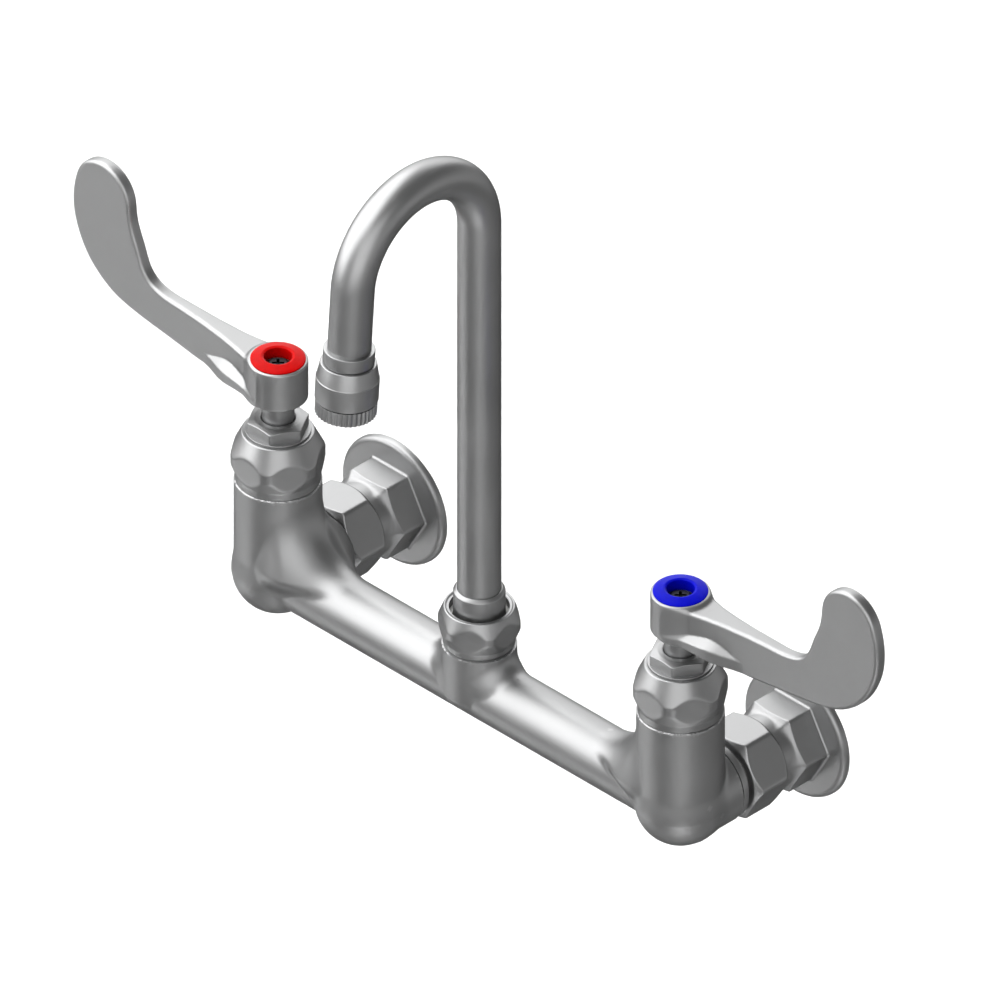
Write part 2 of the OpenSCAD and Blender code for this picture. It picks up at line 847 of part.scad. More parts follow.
// A rounded section across the blade, along its width and then its depth. The lower
// half stands out by the ledge.
function blade_section(width, depth, ledge) =
    let (corner = min(min(width, depth) / 2 * blade_corner_share, blade_edge_r))
    let (low = (corner - width / 2) * ledge_low_share)
    let (round_end = [for (k = [0:blade_corner_steps]) 90 * k / blade_corner_steps])
    let (top = [
        for (a = round_end)
            [width / 2 - corner + corner * cos(a), depth / 2 - corner + corner * sin(a)]
    ])
    let (foot = [
        for (a = round_end)
            [-width / 2 + corner - corner * sin(a),
                depth / 2 + ledge - corner + corner * cos(a)]
    ])
    let (step = [
        [low + ledge * ledge_slope + ledge_lap, depth / 2],
        [low, depth / 2 + ledge]
    ])
    let (half = concat(top, step, foot))
    let (last = len(half) - 1)
        concat(half, [for (i = [last:-1:0]) [half[i][0], -half[i][1]]]);

// A blade ring at a place, square to the direction that the blade runs in
function blade_ring(place, heading, width, depth, ledge) = [
    for (p = blade_section(width, depth, ledge))
        [-(place[0] - heading[1] * p[0]), p[1], place[1] + heading[0] * p[0]]
];

function unit(v) = v / norm(v);

module blade() {
    last = len(blade_curve) - 1;
    tip = blade_curve[last];
    tip_heading = unit([tip[0] - blade_curve[last - 1][0], tip[1] - blade_curve[last - 1][1]]);
    run = [
        for (i = [0:last])
            let (here = blade_curve[i])
            let (before = blade_curve[max(i - 1, 0)], after = blade_curve[min(i + 1, last)])
            let (heading = unit([after[0] - before[0], after[1] - before[1]]))
                blade_ring(here, heading, here[2], blade_thickness(here[0]), ledge_at(here[0]))
    ];
    cap = [
        for (k = [1:blade_tip_steps])
            let (a = 90 * k / (blade_tip_steps + tip_rest_share))
            let (along = tip[2] / 2 * sin(a))
            let (thinned = min(tip[2] * cos(a), blade_t))
                blade_ring([tip[0] + tip_heading[0] * along, tip[1] + tip_heading[1] * along],
                    tip_heading, tip[2] * cos(a), thinned, 0)
    ];
    skin(concat(run, cap));
}

module handle(side) color("silver") at_valve(side) translate([0, 0, hub_low]) difference() {
    union() {
        blade();
        rotate_extrude()
            polygon([
                [0, 0],
                [hub_r - hub_edge / 2, 0],
                [hub_r, hub_edge / 2],
                [hub_r, hub_h - hub_edge],
                [hub_r - hub_edge / 3, hub_h - hub_edge / 3],
                [hub_r - hub_edge, hub_h],
                [0, hub_h]
            ]);
    }
    translate([0, 0, -hub_h])
        cylinder(h = hub_h + hub_seat_h, r = stem_r + thread_gap);
    spline(0, hub_seat_h + spline_l + spline_end_gap, thread_gap);
    cylinder(h = hub_h, r = screw_shank_r + screw_gap);
    translate([0, 0, hub_seat_h + spline_l + spline_end_gap + hub_web_t])
        cylinder(h = hub_h, r = screw_head_r + screw_gap);
    translate([0, 0, hub_h - index_skirt_l])
        cylinder(h = hub_h, r = index_skirt_r + thread_gap);
}

module handle_screw(side) color("gray") at_valve(side) {
    head_low = hub_low + hub_seat_h + spline_l + spline_end_gap + hub_web_t;
    shank_low = hub_low + hub_seat_h + spline_l - screw_reach + thread_chamfer;
    difference() {
        union() {
            translate([0, 0, shank_low])
                cylinder(h = head_low - shank_low + screw_head_h / 2, r = screw_shank_r);
            rotate_extrude()
                polygon([
                    [0, head_low],
                    [screw_head_r, head_low],
                    [screw_head_r, head_low + screw_head_h - screw_edge],
                    [screw_head_r - screw_edge, head_low + screw_head_h],
                    [0, head_low + screw_head_h]
                ]);
        }
        for (turned = [45, 135])
            rotate([0, 0, turned])
                translate([-screw_head_r / 2, -screw_slot_w / 2,
                    head_low + screw_head_h - screw_slot_depth])
                    cube([screw_head_r, screw_slot_w, screw_head_h]);
    }
}

module index_ring(side) color(side == hot ? "red" : "blue") at_valve(side)
    translate([0, 0, hub_low + hub_h])
        rotate_extrude()
            polygon([
                [index_hole_d / 2, -index_skirt_l],
                [index_skirt_r, -index_skirt_l],
                [index_skirt_r, 0],
                [hub_r - index_rim, 0],
                [hub_r - index_rim, index_h * 0.25],
                [hub_r - index_rim * 2, index_h * 0.5],
                [index_hole_d / 2 + index_rim, index_h],
                [index_hole_d / 2, index_h - index_rim / 2]
            ]);

module spout_nut() color("silver") at_spout() {
    ring_top = spout_nut_top - spout_nut_cone_h - spout_nut_band_h - spout_nut_chamfer_h;
    difference() {
        rotate([0, 0, 30])
            hex_turned(spout_nut_af, [
                [0, boss_h],
                [spout_thread_r + spout_nut_rim, boss_h],
                [spout_thread_r + spout_nut_rim, ring_top - spout_nut_ring_h],
                [spout_nut_ring_r, ring_top - spout_nut_ring_h],
                [spout_nut_ring_r, ring_top],
                [spout_nut_band_r, ring_top + spout_nut_chamfer_h],
                [spout_nut_band_r, ring_top + spout_nut_chamfer_h + spout_nut_band_h],
                [spout_nut_top_r, spout_nut_top],
                [0, spout_nut_top]
            ]);
        translate([0, 0, boss_h - cut])
            cylinder(h = bearing_top - boss_h + cut, r = spout_thread_r + thread_gap);
        cylinder(h = spout_nut_top + cut, r = spout_nut_hole_r);
    }
}

module spout_bearing_washer() color("white") at_spout()
    ring(spout_thread_r - thread_gap, sleeve_r + face_gap * 2, bearing_low, bearing_top);

module spout_sleeve() color("silver") at_spout() difference() {
    rotate_extrude()
        polygon([
            [0, sleeve_low],
            [swivel_bore_r - run_gap, sleeve_low],
            [swivel_bore_r - run_gap, sleeve_flange_low],
            [sleeve_flange_r, sleeve_flange_low],
            [sleeve_flange_r, sleeve_flange_top],
            [sleeve_r, sleeve_flange_top],
            [sleeve_r, sleeve_flange_top + sleeve_l - sleeve_tip_h],
            [neck_r + sleeve_tip_wall, sleeve_flange_top + sleeve_l],
            [0, sleeve_flange_top + sleeve_l]
        ]);
    translate([0, 0, sleeve_low - cut])
        cylinder(h = neck_low, r = neck_bore_r);
    translate([0, 0, neck_low])
        cylinder(h = bend_h, r = neck_r + thread_gap);
    for (i = [0:spout_o_ring_count - 1])
        o_groove(swivel_bore_r - run_gap, sleeve_low + o_ring_up + i * spout_o_ring_pitch,
            o_ring_section);
}

module spout_o_rings() color("black") at_spout()
    for (i = [0:spout_o_ring_count - 1])
        o_ring(swivel_bore_r - run_gap, sleeve_low + o_ring_up + i * spout_o_ring_pitch,
            o_ring_section);

// The straight and bent run of the gooseneck at a given radius
module neck_run(radius, overrun) {
    translate([0, 0, neck_low - overrun])
        cylinder(h = bend_h - neck_low + overrun, r = radius);
    translate([0, -bend_r, bend_h])
        rotate([90, 0, 90])
            rotate_extrude(angle = bend_sweep)
                translate([bend_r, 0])
                    circle(r = radius);
}

// The straight outlet end at a given radius, drawn a hair finer than the bend
module neck_outlet(radius, overrun) {
    at_outlet(-seam_lap)
        cylinder(h = outlet_l - collar_lip + seam_lap + overrun, r = radius - seam_step);
}

module gooseneck_tube() color("silver") difference() {
    union() {
        at_spout()
            neck_run(neck_r, 0);
        neck_outlet(neck_r, 0);
    }
    at_spout()
        neck_run(neck_bore_r, cut);
    neck_outlet(neck_bore_r, cut);
}

module outlet_collar() color("silver") at_outlet(0) difference() {
    union() {
        translate([0, 0, outlet_l - collar_l])
            cylinder(h = collar_l, d = collar_d);
        translate([0, 0, outlet_l - cut])
            cylinder(h = outlet_thread_l + cut, r = outlet_thread_r);
    }
    translate([0, 0, outlet_l - collar_l - cut])
        cylinder(h = collar_l - collar_lip + cut, r = neck_r + thread_gap);
    cylinder(h = outlet_thread_end + cut, r = neck_bore_r);
}

module aerator_washer() color("dimgray") at_outlet(0)
    ring(outlet_thread_r - thread_gap, neck_bore_r, outlet_thread_end, washer_low_end);

module aerator_housing() color("silver") at_outlet(0) difference() {
    rotate_extrude()
        polygon([
            [0, outlet_l],
            [aerator_cone_r, outlet_l],
            [aerator_r - flange_edge / 3, outlet_l + aerator_cone_l],
            [aerator_r, outlet_l + aerator_cone_l + flange_edge / 3],
            [aerator_r, aerator_end - flange_edge / 3],
            [aerator_r - flange_edge / 3, aerator_end],
            [0, aerator_end]
        ]);
    translate([0, 0, outlet_l - cut])
        cylinder(h = outlet_thread_l + cut, r = outlet_thread_r + thread_gap);
    translate([0, 0, outlet_thread_end])
        cylinder(h = aerator_l, r = aerator_thread_r + thread_gap);
}

module aerator_core() color("whitesmoke") at_outlet(0) difference() {
    translate([0, 0, washer_low_end])
        cylinder(h = knurl_end - outlet_lip_t - screen_t - washer_low_end, r = core_r - run_gap);
    for (row = [1:core_rings], i = [0:row * 6 - 1])
        rotate([0, 0, 60 * i / row])
            translate([row * core_step, 0, outlet_thread_end])
                cylinder(h = knurl_end, r = core_tube_r, $fn = 16);
}

module aerator_screen() color("darkgray") at_outlet(0)
    translate([0, 0, knurl_end - outlet_lip_t - screen_t])
        cylinder(h = screen_t, r = core_r - run_gap);

module aerator_ring() color("silver") at_outlet(0) difference() {
    steps = knurl_count * 4;
    union() {
        translate([0, 0, knurl_low])
            linear_extrude(height = knurl_l)
                polygon([
                    for (i = [0:steps - 1])
                        let (r = knurl_r - (i % 4 < 2 ? 0 : knurl_depth))
                            [r * cos(360 * i / steps), r * sin(360 * i / steps)]
                ]);
        translate([0, 0, washer_low_end])
            cylinder(h = knurl_low - washer_low_end + cut, r = aerator_thread_r);
    }
    translate([0, 0, outlet_l])
        cylinder(h = knurl_end - outlet_lip_t - outlet_l, r = core_r);
    translate([0, 0, outlet_l])
        cylinder(h = knurl_end, r = outlet_lip_r);
}

body_casting();
inlet_flange(hot);  // hot_inlet_flange
union_nut(hot);  // hot_union_nut
union_washer(hot);  // hot_union_washer
seat_seal(hot);  // hot_seat_seal
fixed_disc(hot);  // hot_fixed_disc
cartridge_body(hot);  // hot_cartridge_body
bonnet_nut(hot);  // hot_bonnet_nut
packing_ring(hot);  // hot_packing_ring
packing_nut(hot);  // hot_packing_nut
moving_disc(hot);  // hot_moving_disc
stem(hot);  // hot_stem
stem_o_ring(hot);  // hot_stem_o_ring
handle(hot);  // hot_handle
handle_screw(hot);  // hot_handle_screw
index_ring(hot);  // hot_index_ring
inlet_flange(cold);  // cold_inlet_flange
union_nut(cold);  // cold_union_nut
union_washer(cold);  // cold_union_washer
seat_seal(cold);  // cold_seat_seal
fixed_disc(cold);  // cold_fixed_disc
cartridge_body(cold);  // cold_cartridge_body
bonnet_nut(cold);  // cold_bonnet_nut
packing_ring(cold);  // cold_packing_ring
packing_nut(cold);  // cold_packing_nut
moving_disc(cold);  // cold_moving_disc
stem(cold);  // cold_stem
stem_o_ring(cold);  // cold_stem_o_ring
handle(cold);  // cold_handle
handle_screw(cold);  // cold_handle_screw
index_ring(cold);  // cold_index_ring
spout_nut();
spout_bearing_washer();
spout_sleeve();
spout_o_rings();
gooseneck_tube();
outlet_collar();
aerator_washer();
aerator_housing();
aerator_core();
aerator_screen();
aerator_ring();
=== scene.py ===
"""Looks of the wall mounted mixing faucet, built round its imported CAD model.

Sizes are in millimetres in the row frame, as in the part's source: the origin lies on the
wall plane midway between the inlets, +X runs to the cold side, +Z is up, and the faucet
stands out towards -Y. Meshes are scaled to metres when they are made.
"""

import itertools
import json
import math

import bpy
import numpy as np
from mathutils import Matrix, Vector


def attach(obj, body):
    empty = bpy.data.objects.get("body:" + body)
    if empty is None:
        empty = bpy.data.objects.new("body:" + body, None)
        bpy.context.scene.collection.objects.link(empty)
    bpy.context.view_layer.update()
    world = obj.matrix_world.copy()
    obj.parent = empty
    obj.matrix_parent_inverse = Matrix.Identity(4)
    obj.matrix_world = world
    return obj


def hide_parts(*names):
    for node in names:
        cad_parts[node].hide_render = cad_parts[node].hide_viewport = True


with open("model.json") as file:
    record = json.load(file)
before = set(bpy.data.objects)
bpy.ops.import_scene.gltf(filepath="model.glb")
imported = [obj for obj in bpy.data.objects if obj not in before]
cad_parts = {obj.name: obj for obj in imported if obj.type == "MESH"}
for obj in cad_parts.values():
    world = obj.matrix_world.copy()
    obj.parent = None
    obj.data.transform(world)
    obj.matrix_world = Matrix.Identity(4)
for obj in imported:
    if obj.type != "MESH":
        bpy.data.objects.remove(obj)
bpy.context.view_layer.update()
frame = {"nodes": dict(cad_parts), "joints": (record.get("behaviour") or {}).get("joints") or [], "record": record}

MM = 0.001

# Places that the frame gives
JOINT_AT = {joint["name"]: Vector(joint["pos_m"]) / MM for joint in frame["joints"]}
VALVE_X = JOINT_AT["cold_handle_turn"].x
AXIS_Y = JOINT_AT["spout_swivel"].y
SIDES = {"hot": -1, "cold": 1}

# Fineness of turned pieces, and the powers that keep a hexagon's corners and cuts soft
ROUND_SIDES = 128
HEX_SIDES = 192
LARGE_HEX_SIDES = 216
CORNER_POWER = 70
CUT_POWER = 90
# Share of a side that the rounding of a corner may use, without and with a rounding of its own
ROUND_SHARE = 0.45
OWN_ROUND_SHARE = 0.9
# Angles from which an edge is shaded sharp: turned, cast and knurled pieces
SHARP = 34
CAST_SHARP = 50
KNURL_SHARP = 60

# Grids on which the skins of the casting and the handles are found
CASTING_STEP = 0.7
HANDLE_STEP = 0.55
GRID_MARGIN = 2
HUB_GRID_MARGIN = 1.5
GRID_BELOW_HUB = 3
SKIN_PASSES = 5
LEAST_SLOPE = 0.2
LEAST_AWAY = 0.1

# Casting
TUBE_R = 11.5
HOUSING_R = 15.9
HOUSING_TOP = 39.5
ELBOW_R = 16.6
LEG_L = 16.3
BOSS_R = 13.6
BOSS_TOP = 18.4
KEEL_H = 9
TOP_BLEND = 23
LEG_BLEND = 19
BOSS_BLEND = 6.5
CREASE_BLEND = 3
EDGE = 0.35
# Where the wide blends begin, and how soon they are full towards the spout
TOP_START = 0.15
REAR_START = 0.1
FACING_RATE = 1.3
BOSS_FACING_RATE = 1.2

# Inlet legs and unions, as distances from the wall
LEG_END = -AXIS_Y - LEG_L
LEG_RING_T = 5
LEG_OVERLAP = 1
LEG_COLLAR_L = 2.9
COLLAR_CUT = 0.4
GROOVE_W = 0.5
GROOVE_DEPTH = 1.2
THREAD_R = 13
THREAD_PITCH = 1.4
THREAD_DEPTH = 0.7
THREAD_END = 29
THREAD_START_L = 0.8
THREAD_SPARE_L = 1.5
THREAD_RUNOUT_L = 0.6
THREAD_CREST = (0.45, 0.55)
NUT_REAR = 21.8
NUT_FRONT = 38.6
NUT_CHAMFER = 0.5
NUT_FRONT_SHARE = 0.8
UNION_AF = 32
TAIL_R = 10.5
TAIL_BORE_R = 7.9
TAIL_END = 27.4
TAIL_COLLAR_L = 2.5
TAIL_COLLAR_CUT = 0.4
FLANGE_R = 25.4
FLANGE_T = 3.4
FLANGE_HEX_AF = 31
FLANGE_HEX_L = 15.6
FLANGE_FILLET = 1.3
FLANGE_ROUND = 2.5
FLANGE_EDGE = 0.5
FLANGE_NECK_R = 14.4
FLANGE_NECK_END = 21.4
FLARE_SLOPE = 0.8
FLARE_R = 3.5
INLET_BORE_R = 9.13
INLET_BORE_L = 13

# Valve, with its heights above the inlet axes
BONNET_AF = 31.75
BONNET_COLLAR_H = 3
BONNET_CHAMFER_H = 5
BONNET_BAND_H = 4
BONNET_CONE_H = 8.6
BONNET_BAND_R = 17.3
BONNET_TOP_R = 13
BONNET_TOP = HOUSING_TOP + BONNET_COLLAR_H + BONNET_CHAMFER_H + BONNET_BAND_H + BONNET_CONE_H
STEM_R = 5.9
STEM_CORE_R = 0.2
STEM_SUNK = 8
RUN_GAP = 0.05
PACKING_AF = 20
PACKING_BORE_R = STEM_R + 0.1
PACKING_FLANGE_R = 11.9
PACKING_FLANGE_H = 0.8
PACKING_HEX_H = 5.1
PACKING_OVERLAP = 0.3
PACKING_CHAMFER_H = 1.1
PACKING_MOUTH = 0.5
PACKING_TOP_R = 8.4
PACKING_TOP = BONNET_TOP + PACKING_FLANGE_H + PACKING_HEX_H
STEM_SHOWN = 9
HUB_LOW = PACKING_TOP + STEM_SHOWN
HUB_R = 10.85
HUB_H = 16
HUB_EDGE = 0.7
HUB_TOP = HUB_LOW + HUB_H

# Handles
REACH = 101.6
RISE = 59
BLADE_W = 30
BLADE_T = 4.8
BLADE_EDGE = 1.4
NECK_ROOT_T = 21.5
NECK_FADE = 16.3
NECK_EDGE = 1.1
# Foot of the neck: distance from the hub, half width, height of its edge
NECK_FOOT = (
    (0, 10.7, 2.4),
    (10, 8.9, 3.4),
    (21, 8.1, 4.2),
    (26.4, 6.1, 3.8),
    (32, 3.8, 3.4),
    (38, 2.9, 3.2),
    (46, 0, 3.2),
)
FOOT_EASE = 3
FOOT_SAMPLES = 7
HUB_BLEND = 2.2
SOCKET_L = 2
WELL_RISE = 4.2
# Places along the blade: share of the reach, share of the rise, share of the width
BLADE_SHARES = (
    (0.000, 0.124, 0.493),
    (0.140, 0.124, 0.513),
    (0.250, 0.121, 0.563),
    (0.355, 0.122, 0.593),
    (0.455, 0.135, 0.572),
    (0.560, 0.150, 0.545),
    (0.660, 0.190, 0.620),
    (0.740, 0.270, 0.830),
    (0.803, 0.396, 0.985),
    (0.847, 0.550, 1.000),
    (0.857, 0.680, 0.970),
    (0.853, 0.772, 0.910),
)
CURVE_STEPS = 8
TIP_STEPS = 32
OUTLINE_STEP = 1.2
OUTLINE_PASSES = 6

# Index rings, with their heights above the hub
INDEX_H = 1.6
INDEX_HOLE_R = 5.2
INDEX_SKIRT_R = 7.4
INDEX_SKIRT_L = 3
INDEX_RIM = 0.85
INDEX_SIDE_SHARE = 0.3
INDEX_DOME_RIM = INDEX_RIM * 2.2
INDEX_DOME_SHARE = 0.55
INDEX_LIP_W = 0.8
INDEX_LIP_H = 0.4

# Spout: the gooseneck, its sleeve and its nut
NECK_R = 7.9375
NECK_WALL = 1.1
NECK_LOW = 14.5
NECK_SIDES = 112
BEND_H = 201.2
BEND_R = 32
BEND_SWEEP = 176.07
RISER_STEPS = 12
BEND_STEPS = 72
DROP_STEPS = 5
SLEEVE_R = 9.4
SLEEVE_LOW = 27
SLEEVE_FOOT_R = 11.6
SLEEVE_FOOT_TOP = 29.2
SLEEVE_TOP = 42.2
SLEEVE_EDGE_H = 1.2
SLEEVE_LIP = 0.4
SPOUT_NUT_AF = 27.6
SPOUT_NUT_BORE_R = NECK_R + 3
SPOUT_NUT_FOOT_R = 12.6
SPOUT_NUT_RING_R = 13.1
SPOUT_NUT_RING_H = 1.8
SPOUT_NUT_FLARE_H = 5
SPOUT_NUT_BAND_R = 15.1
SPOUT_NUT_BAND_H = 2.8
SPOUT_NUT_CONE_H = 5.6
SPOUT_NUT_TOP_R = 12.8
SPOUT_NUT_LIP_R = 12.2
SPOUT_NUT_MOUTH_R = 11.8
SPOUT_NUT_MOUTH_H = 0.5
SPOUT_NUT_TOP = 34.4

# Outlet, along the flow from the end of the bend
OUTLET_L = 29.7
OUTLET_COLLAR_L = 5.7
OUTLET_COLLAR_R = 9.4
OUTLET_COLLAR_LIP_H = 0.35
OUTLET_COLLAR_LIP_W = 0.4
AERATOR_R = 11.5
AERATOR_CONE_R = 10.2
AERATOR_CONE_L = 6.1
AERATOR_EDGE_W = 0.2
AERATOR_EDGE_L = 0.25
AERATOR_RIM = 1.2
AERATOR_DISH = 2
AERATOR_L = 15.1
AERATOR_END = OUTLET_L + AERATOR_L
GRIP_GAP = 0.7
KNURL_L = 5.7
KNURL_LOW = AERATOR_END + GRIP_GAP
KNURL_END = KNURL_LOW + KNURL_L
KNURL_R = 11.2
KNURL_COUNT = 40
KNURL_SIDES = 8
KNURL_DEPTH = 0.45
KNURL_BAND = 0.8
KNURL_CHAMFER_W = 0.6
KNURL_CHAMFER_L = 0.4
GRIP_TAIL_L = 4
GRIP_TAIL_CUT = 1
OUTLET_HOLE_R = 7.6
HOLE_CHAMFER_W = 0.5
HOLE_CHAMFER_L = 0.6

# Plating: its brightness, the tint of its edges, and the edges that count as worn and get a painted highlight
PLATING = 0.42
EDGE_TINT = 0.3
WORN_HIGHLIGHT_START = 0.505
WORN_HIGHLIGHT_END = 0.56

# Camera and studio, in metres
CAMERA_AZIMUTH = 45
CAMERA_ELEVATION = 35.264
CAMERA_TARGET = Vector((-21.47, -28.37, 53.4)) * MM
CAMERA_WIDTH = 0.357
CAMERA_DISTANCE = 11.9
FLOOR_Z = -2.12
FLOOR_SIZE = 12
FLOOR_LEVEL = 0.93
LAMP_AIM = Vector((0, -0.06, 0.05))
# Softboxes round the object: azimuth and elevation, distance, size, brightness
SOFTBOXES = {
    "key_lamp": (-60, 43, 0.91, 1.59, 2.75),
    "rear_lamp": (-140, 24, 1.3, 1.28, 1.8),
    "fill_lamp": (44, 22, 1.2, 1.14, 1.2),
}
# Lamps over the floor, facing down: place, size, brightness, spread
FLOOR_LAMPS = {
    "backdrop_lamp": ((-2.12, 2.07, -1.62), 1.4, 1.25, 60),
    "front_lamp": ((1.5, -1.33, -0.85), 1.44, 1.6, 80),
    "left_lamp": ((-3.0, -0.4, -1.6), 2.3, 1.3, 60),
    "corner_lamp": ((-2.1, -2.1, -1.6), 1.6, 1.25, 60),
}
HORIZON_LEVEL = 0.5
ZENITH_LEVEL = 0.14
HORIZON_RISE = 0.03
HORIZON_FADE = 0.3


# Outlines


def rounded(points, radius, steps=4):
    """An outline of (radius, height) points with its inner corners rounded.

    A point may state a rounding of its own as a third number.
    """
    out = [points[0][:2]]
    for before, corner, after in zip(points, points[1:], points[2:]):
        own = corner[2:]
        corner = Vector(corner[:2])
        back = Vector(before[:2]) - corner
        ahead = Vector(after[:2]) - corner
        most = min(back.length, ahead.length)
        cut = min(own[0], most * OWN_ROUND_SHARE) if own else min(radius, most * ROUND_SHARE)
        a = corner + back.normalized() * cut
        b = corner + ahead.normalized() * cut
        for i in range(steps + 1):
            t = i / steps
            out.append(tuple(a * (1 - t) ** 2 + corner * 2 * t * (1 - t) + b * t * t))
    out.append(points[-1][:2])
    return out


def filled_in(points, step):
    """The same outline with more points along its straight runs."""
    out = [points[0]]
    for a, b in zip(points, points[1:]):
        count = max(1, math.ceil(math.dist(a, b) / step))
        for i in range(1, count + 1):
            t = i / count
            out.append((a[0] + (b[0] - a[0]) * t, a[1] + (b[1] - a[1]) * t))
    return out


def hex_corner(af):
    """Radius of the corners of a sharp hexagon."""
    return af / 2 / math.cos(math.radians(30))


def hex_radius(angle, af, hex_turned=0):
    """Radius of a hexagon with soft corners, whose corners point along angle 0."""
    total = 0
    for k in range(6):
        away = math.cos(angle - math.radians(hex_turned + 30 + 60 * k))
        total += max(away, 0) ** CORNER_POWER
    return af / 2 / total ** (1 / CORNER_POWER)


def turned(outline, sides=ROUND_SIDES, af=None, hex_turned=0):
    """Rings of an outline turned round Z. With af, the outline is cut by a hexagon."""
    rings = []
    for r, z in outline:
        ring = []
        for k in range(sides):
            angle = 2 * math.pi * k / sides
            radius = r
            if af:
                limit = hex_radius(angle, af, hex_turned)
                radius = (r**-CUT_POWER + limit**-CUT_POWER) ** (-1 / CUT_POWER)
            ring.append((radius * math.cos(angle), radius * math.sin(angle), z))
        rings.append(ring)
    return rings


def ring_mesh(rings, closed=True, flip=True):
    """Points and faces of a row of rings. When closed, the last ring joins the first."""
    count = len(rings[0])
    points = [point for ring in rings for point in ring]
    faces = []
    for i in range(len(rings) if closed else len(rings) - 1):
        a, b = i * count, (i + 1) % len(rings) * count
        for j in range(count):
            k = (j + 1) % count
            face = (a + j, a + k, b + k, b + j)
            faces.append(face[::-1] if flip else face)
    return points, faces


def round_mesh(outline, edge, steps=4):
    """The mesh of an outline with rounded edges, turned round Z."""
    return ring_mesh(turned(rounded(outline, edge, steps)))


def hex_mesh(outline, af, edge, step=0.25, sides=HEX_SIDES, hex_turned=0):
    """The mesh of an outline with rounded edges, turned round Z and cut by a hexagon."""
    outline = filled_in(rounded(outline, edge), step)
    return ring_mesh(turned(outline, sides, af, hex_turned))


# Fields: distances in mm, less than zero inside


def join(a, b, radius):
    """Union of two fields with a round fillet."""
    inner = np.hypot(np.maximum(radius - a, 0), np.maximum(radius - b, 0))
    return np.maximum(radius, np.minimum(a, b)) - inner


def common(a, b, radius):
    """Overlap of two fields with a round edge."""
    return -join(-a, -b, radius)


def smooth(t):
    """An even ease from 0 to 1."""
    t = np.clip(t, 0, 1)
    return t * t * (3 - 2 * t)


def slope(field, points, step=0.02):
    """The field's gradient at some points."""
    out = np.empty_like(points)
    for axis in range(3):
        offset = np.zeros(3)
        offset[axis] = step
        out[:, axis] = (field(points + offset) - field(points - offset)) / (2 * step)
    return out


def skin_of(field, low, high, step):
    """Points and quads of the surface where a field is zero."""
    axes = [np.arange(a, b + step, step) for a, b in zip(low, high)]
    grid = np.stack(np.meshgrid(*axes, indexing="ij"), -1)
    shape = grid.shape[:3]
    inside = field(grid.reshape(-1, 3)).reshape(shape) < 0
    filled = sum(
        inside[i : shape[0] - 1 + i, j : shape[1] - 1 + j, k : shape[2] - 1 + k].astype(int)
        for i, j, k in itertools.product((0, 1), repeat=3)
    )
    crossed = (filled > 0) & (filled < 8)
    index = np.full(crossed.shape, -1)
    index[crossed] = np.arange(crossed.sum())
    cells = np.argwhere(crossed)
    points = np.array(low) + (cells + 0.5) * step
    for _ in range(SKIN_PASSES):
        gradient = slope(field, points)
        size = np.maximum((gradient**2).sum(1), LEAST_SLOPE)
        move = field(points)[:, None] * gradient / size[:, None]
        points -= np.clip(move, -step, step)
    quads = []
    for axis in range(3):
        u, v = (axis + 1) % 3, (axis + 2) % 3
        first = np.moveaxis(inside, (axis, u, v), (0, 1, 2))
        cell = np.moveaxis(index, (axis, u, v), (0, 1, 2))
        change = first[:-1, 1:-1, 1:-1] != first[1:, 1:-1, 1:-1]
        at = np.argwhere(change)
        i, j, k = at[:, 0], at[:, 1] + 1, at[:, 2] + 1
        quad = np.stack(
            [cell[i, j - 1, k - 1], cell[i, j, k - 1], cell[i, j, k], cell[i, j - 1, k]], 1
        )
        outward = first[i, j, k]
        quads.append(np.where(outward[:, None], quad, quad[:, ::-1]))
    return points, np.concatenate(quads)


def casting_field(p):
    """The cast body, for places measured from the spout axis at inlet height."""
    x, y, z = np.abs(p[:, 0]), p[:, 1], p[:, 2]
    across = x - VALVE_X
    tube = np.maximum(np.hypot(y, z) - TUBE_R, across + HOUSING_R / 2)
    up = smooth(z / TUBE_R + TOP_START)
    back = smooth(y / TUBE_R + REAR_START)
    post_away = np.hypot(across, y)
    post = common(np.maximum(post_away - HOUSING_R, -z), z - HOUSING_TOP, EDGE)
    facing = smooth(-across / np.maximum(post_away, LEAST_AWAY) * FACING_RATE)
    body = join(tube, post, CREASE_BLEND + (TOP_BLEND - CREASE_BLEND) * up * facing)
    leg_away = np.hypot(across, z)
    leg = common(np.maximum(leg_away - HOUSING_R, -y), y - LEG_L, EDGE)
    facing = smooth(-across / np.maximum(leg_away, LEAST_AWAY) * FACING_RATE)
    body = join(body, leg, CREASE_BLEND / 2 + (LEG_BLEND - CREASE_BLEND / 2) * back * facing)
    elbow = np.sqrt(across**2 + y**2 + z**2) - ELBOW_R
    body = join(body, elbow, CREASE_BLEND / 2)
    boss_away = np.hypot(x, y)
    keel = np.hypot(boss_away / BOSS_R, np.minimum(z, 0) / KEEL_H)
    boss = common((keel - 1) * BOSS_R, z - BOSS_TOP, EDGE)
    facing = smooth(x / np.maximum(boss_away, LEAST_AWAY) * BOSS_FACING_RATE)
    return join(body, boss, EDGE + (BOSS_BLEND - EDGE) * up * facing)


def curve_step(a, b, c, d, t):
    """One step of a smooth curve through four places."""
    return (
        b * 2
        + (c - a) * t
        + (a * 2 - b * 5 + c * 4 - d) * t * t
        + (b * 3 - a - c * 3 + d) * t * t * t
    ) / 2


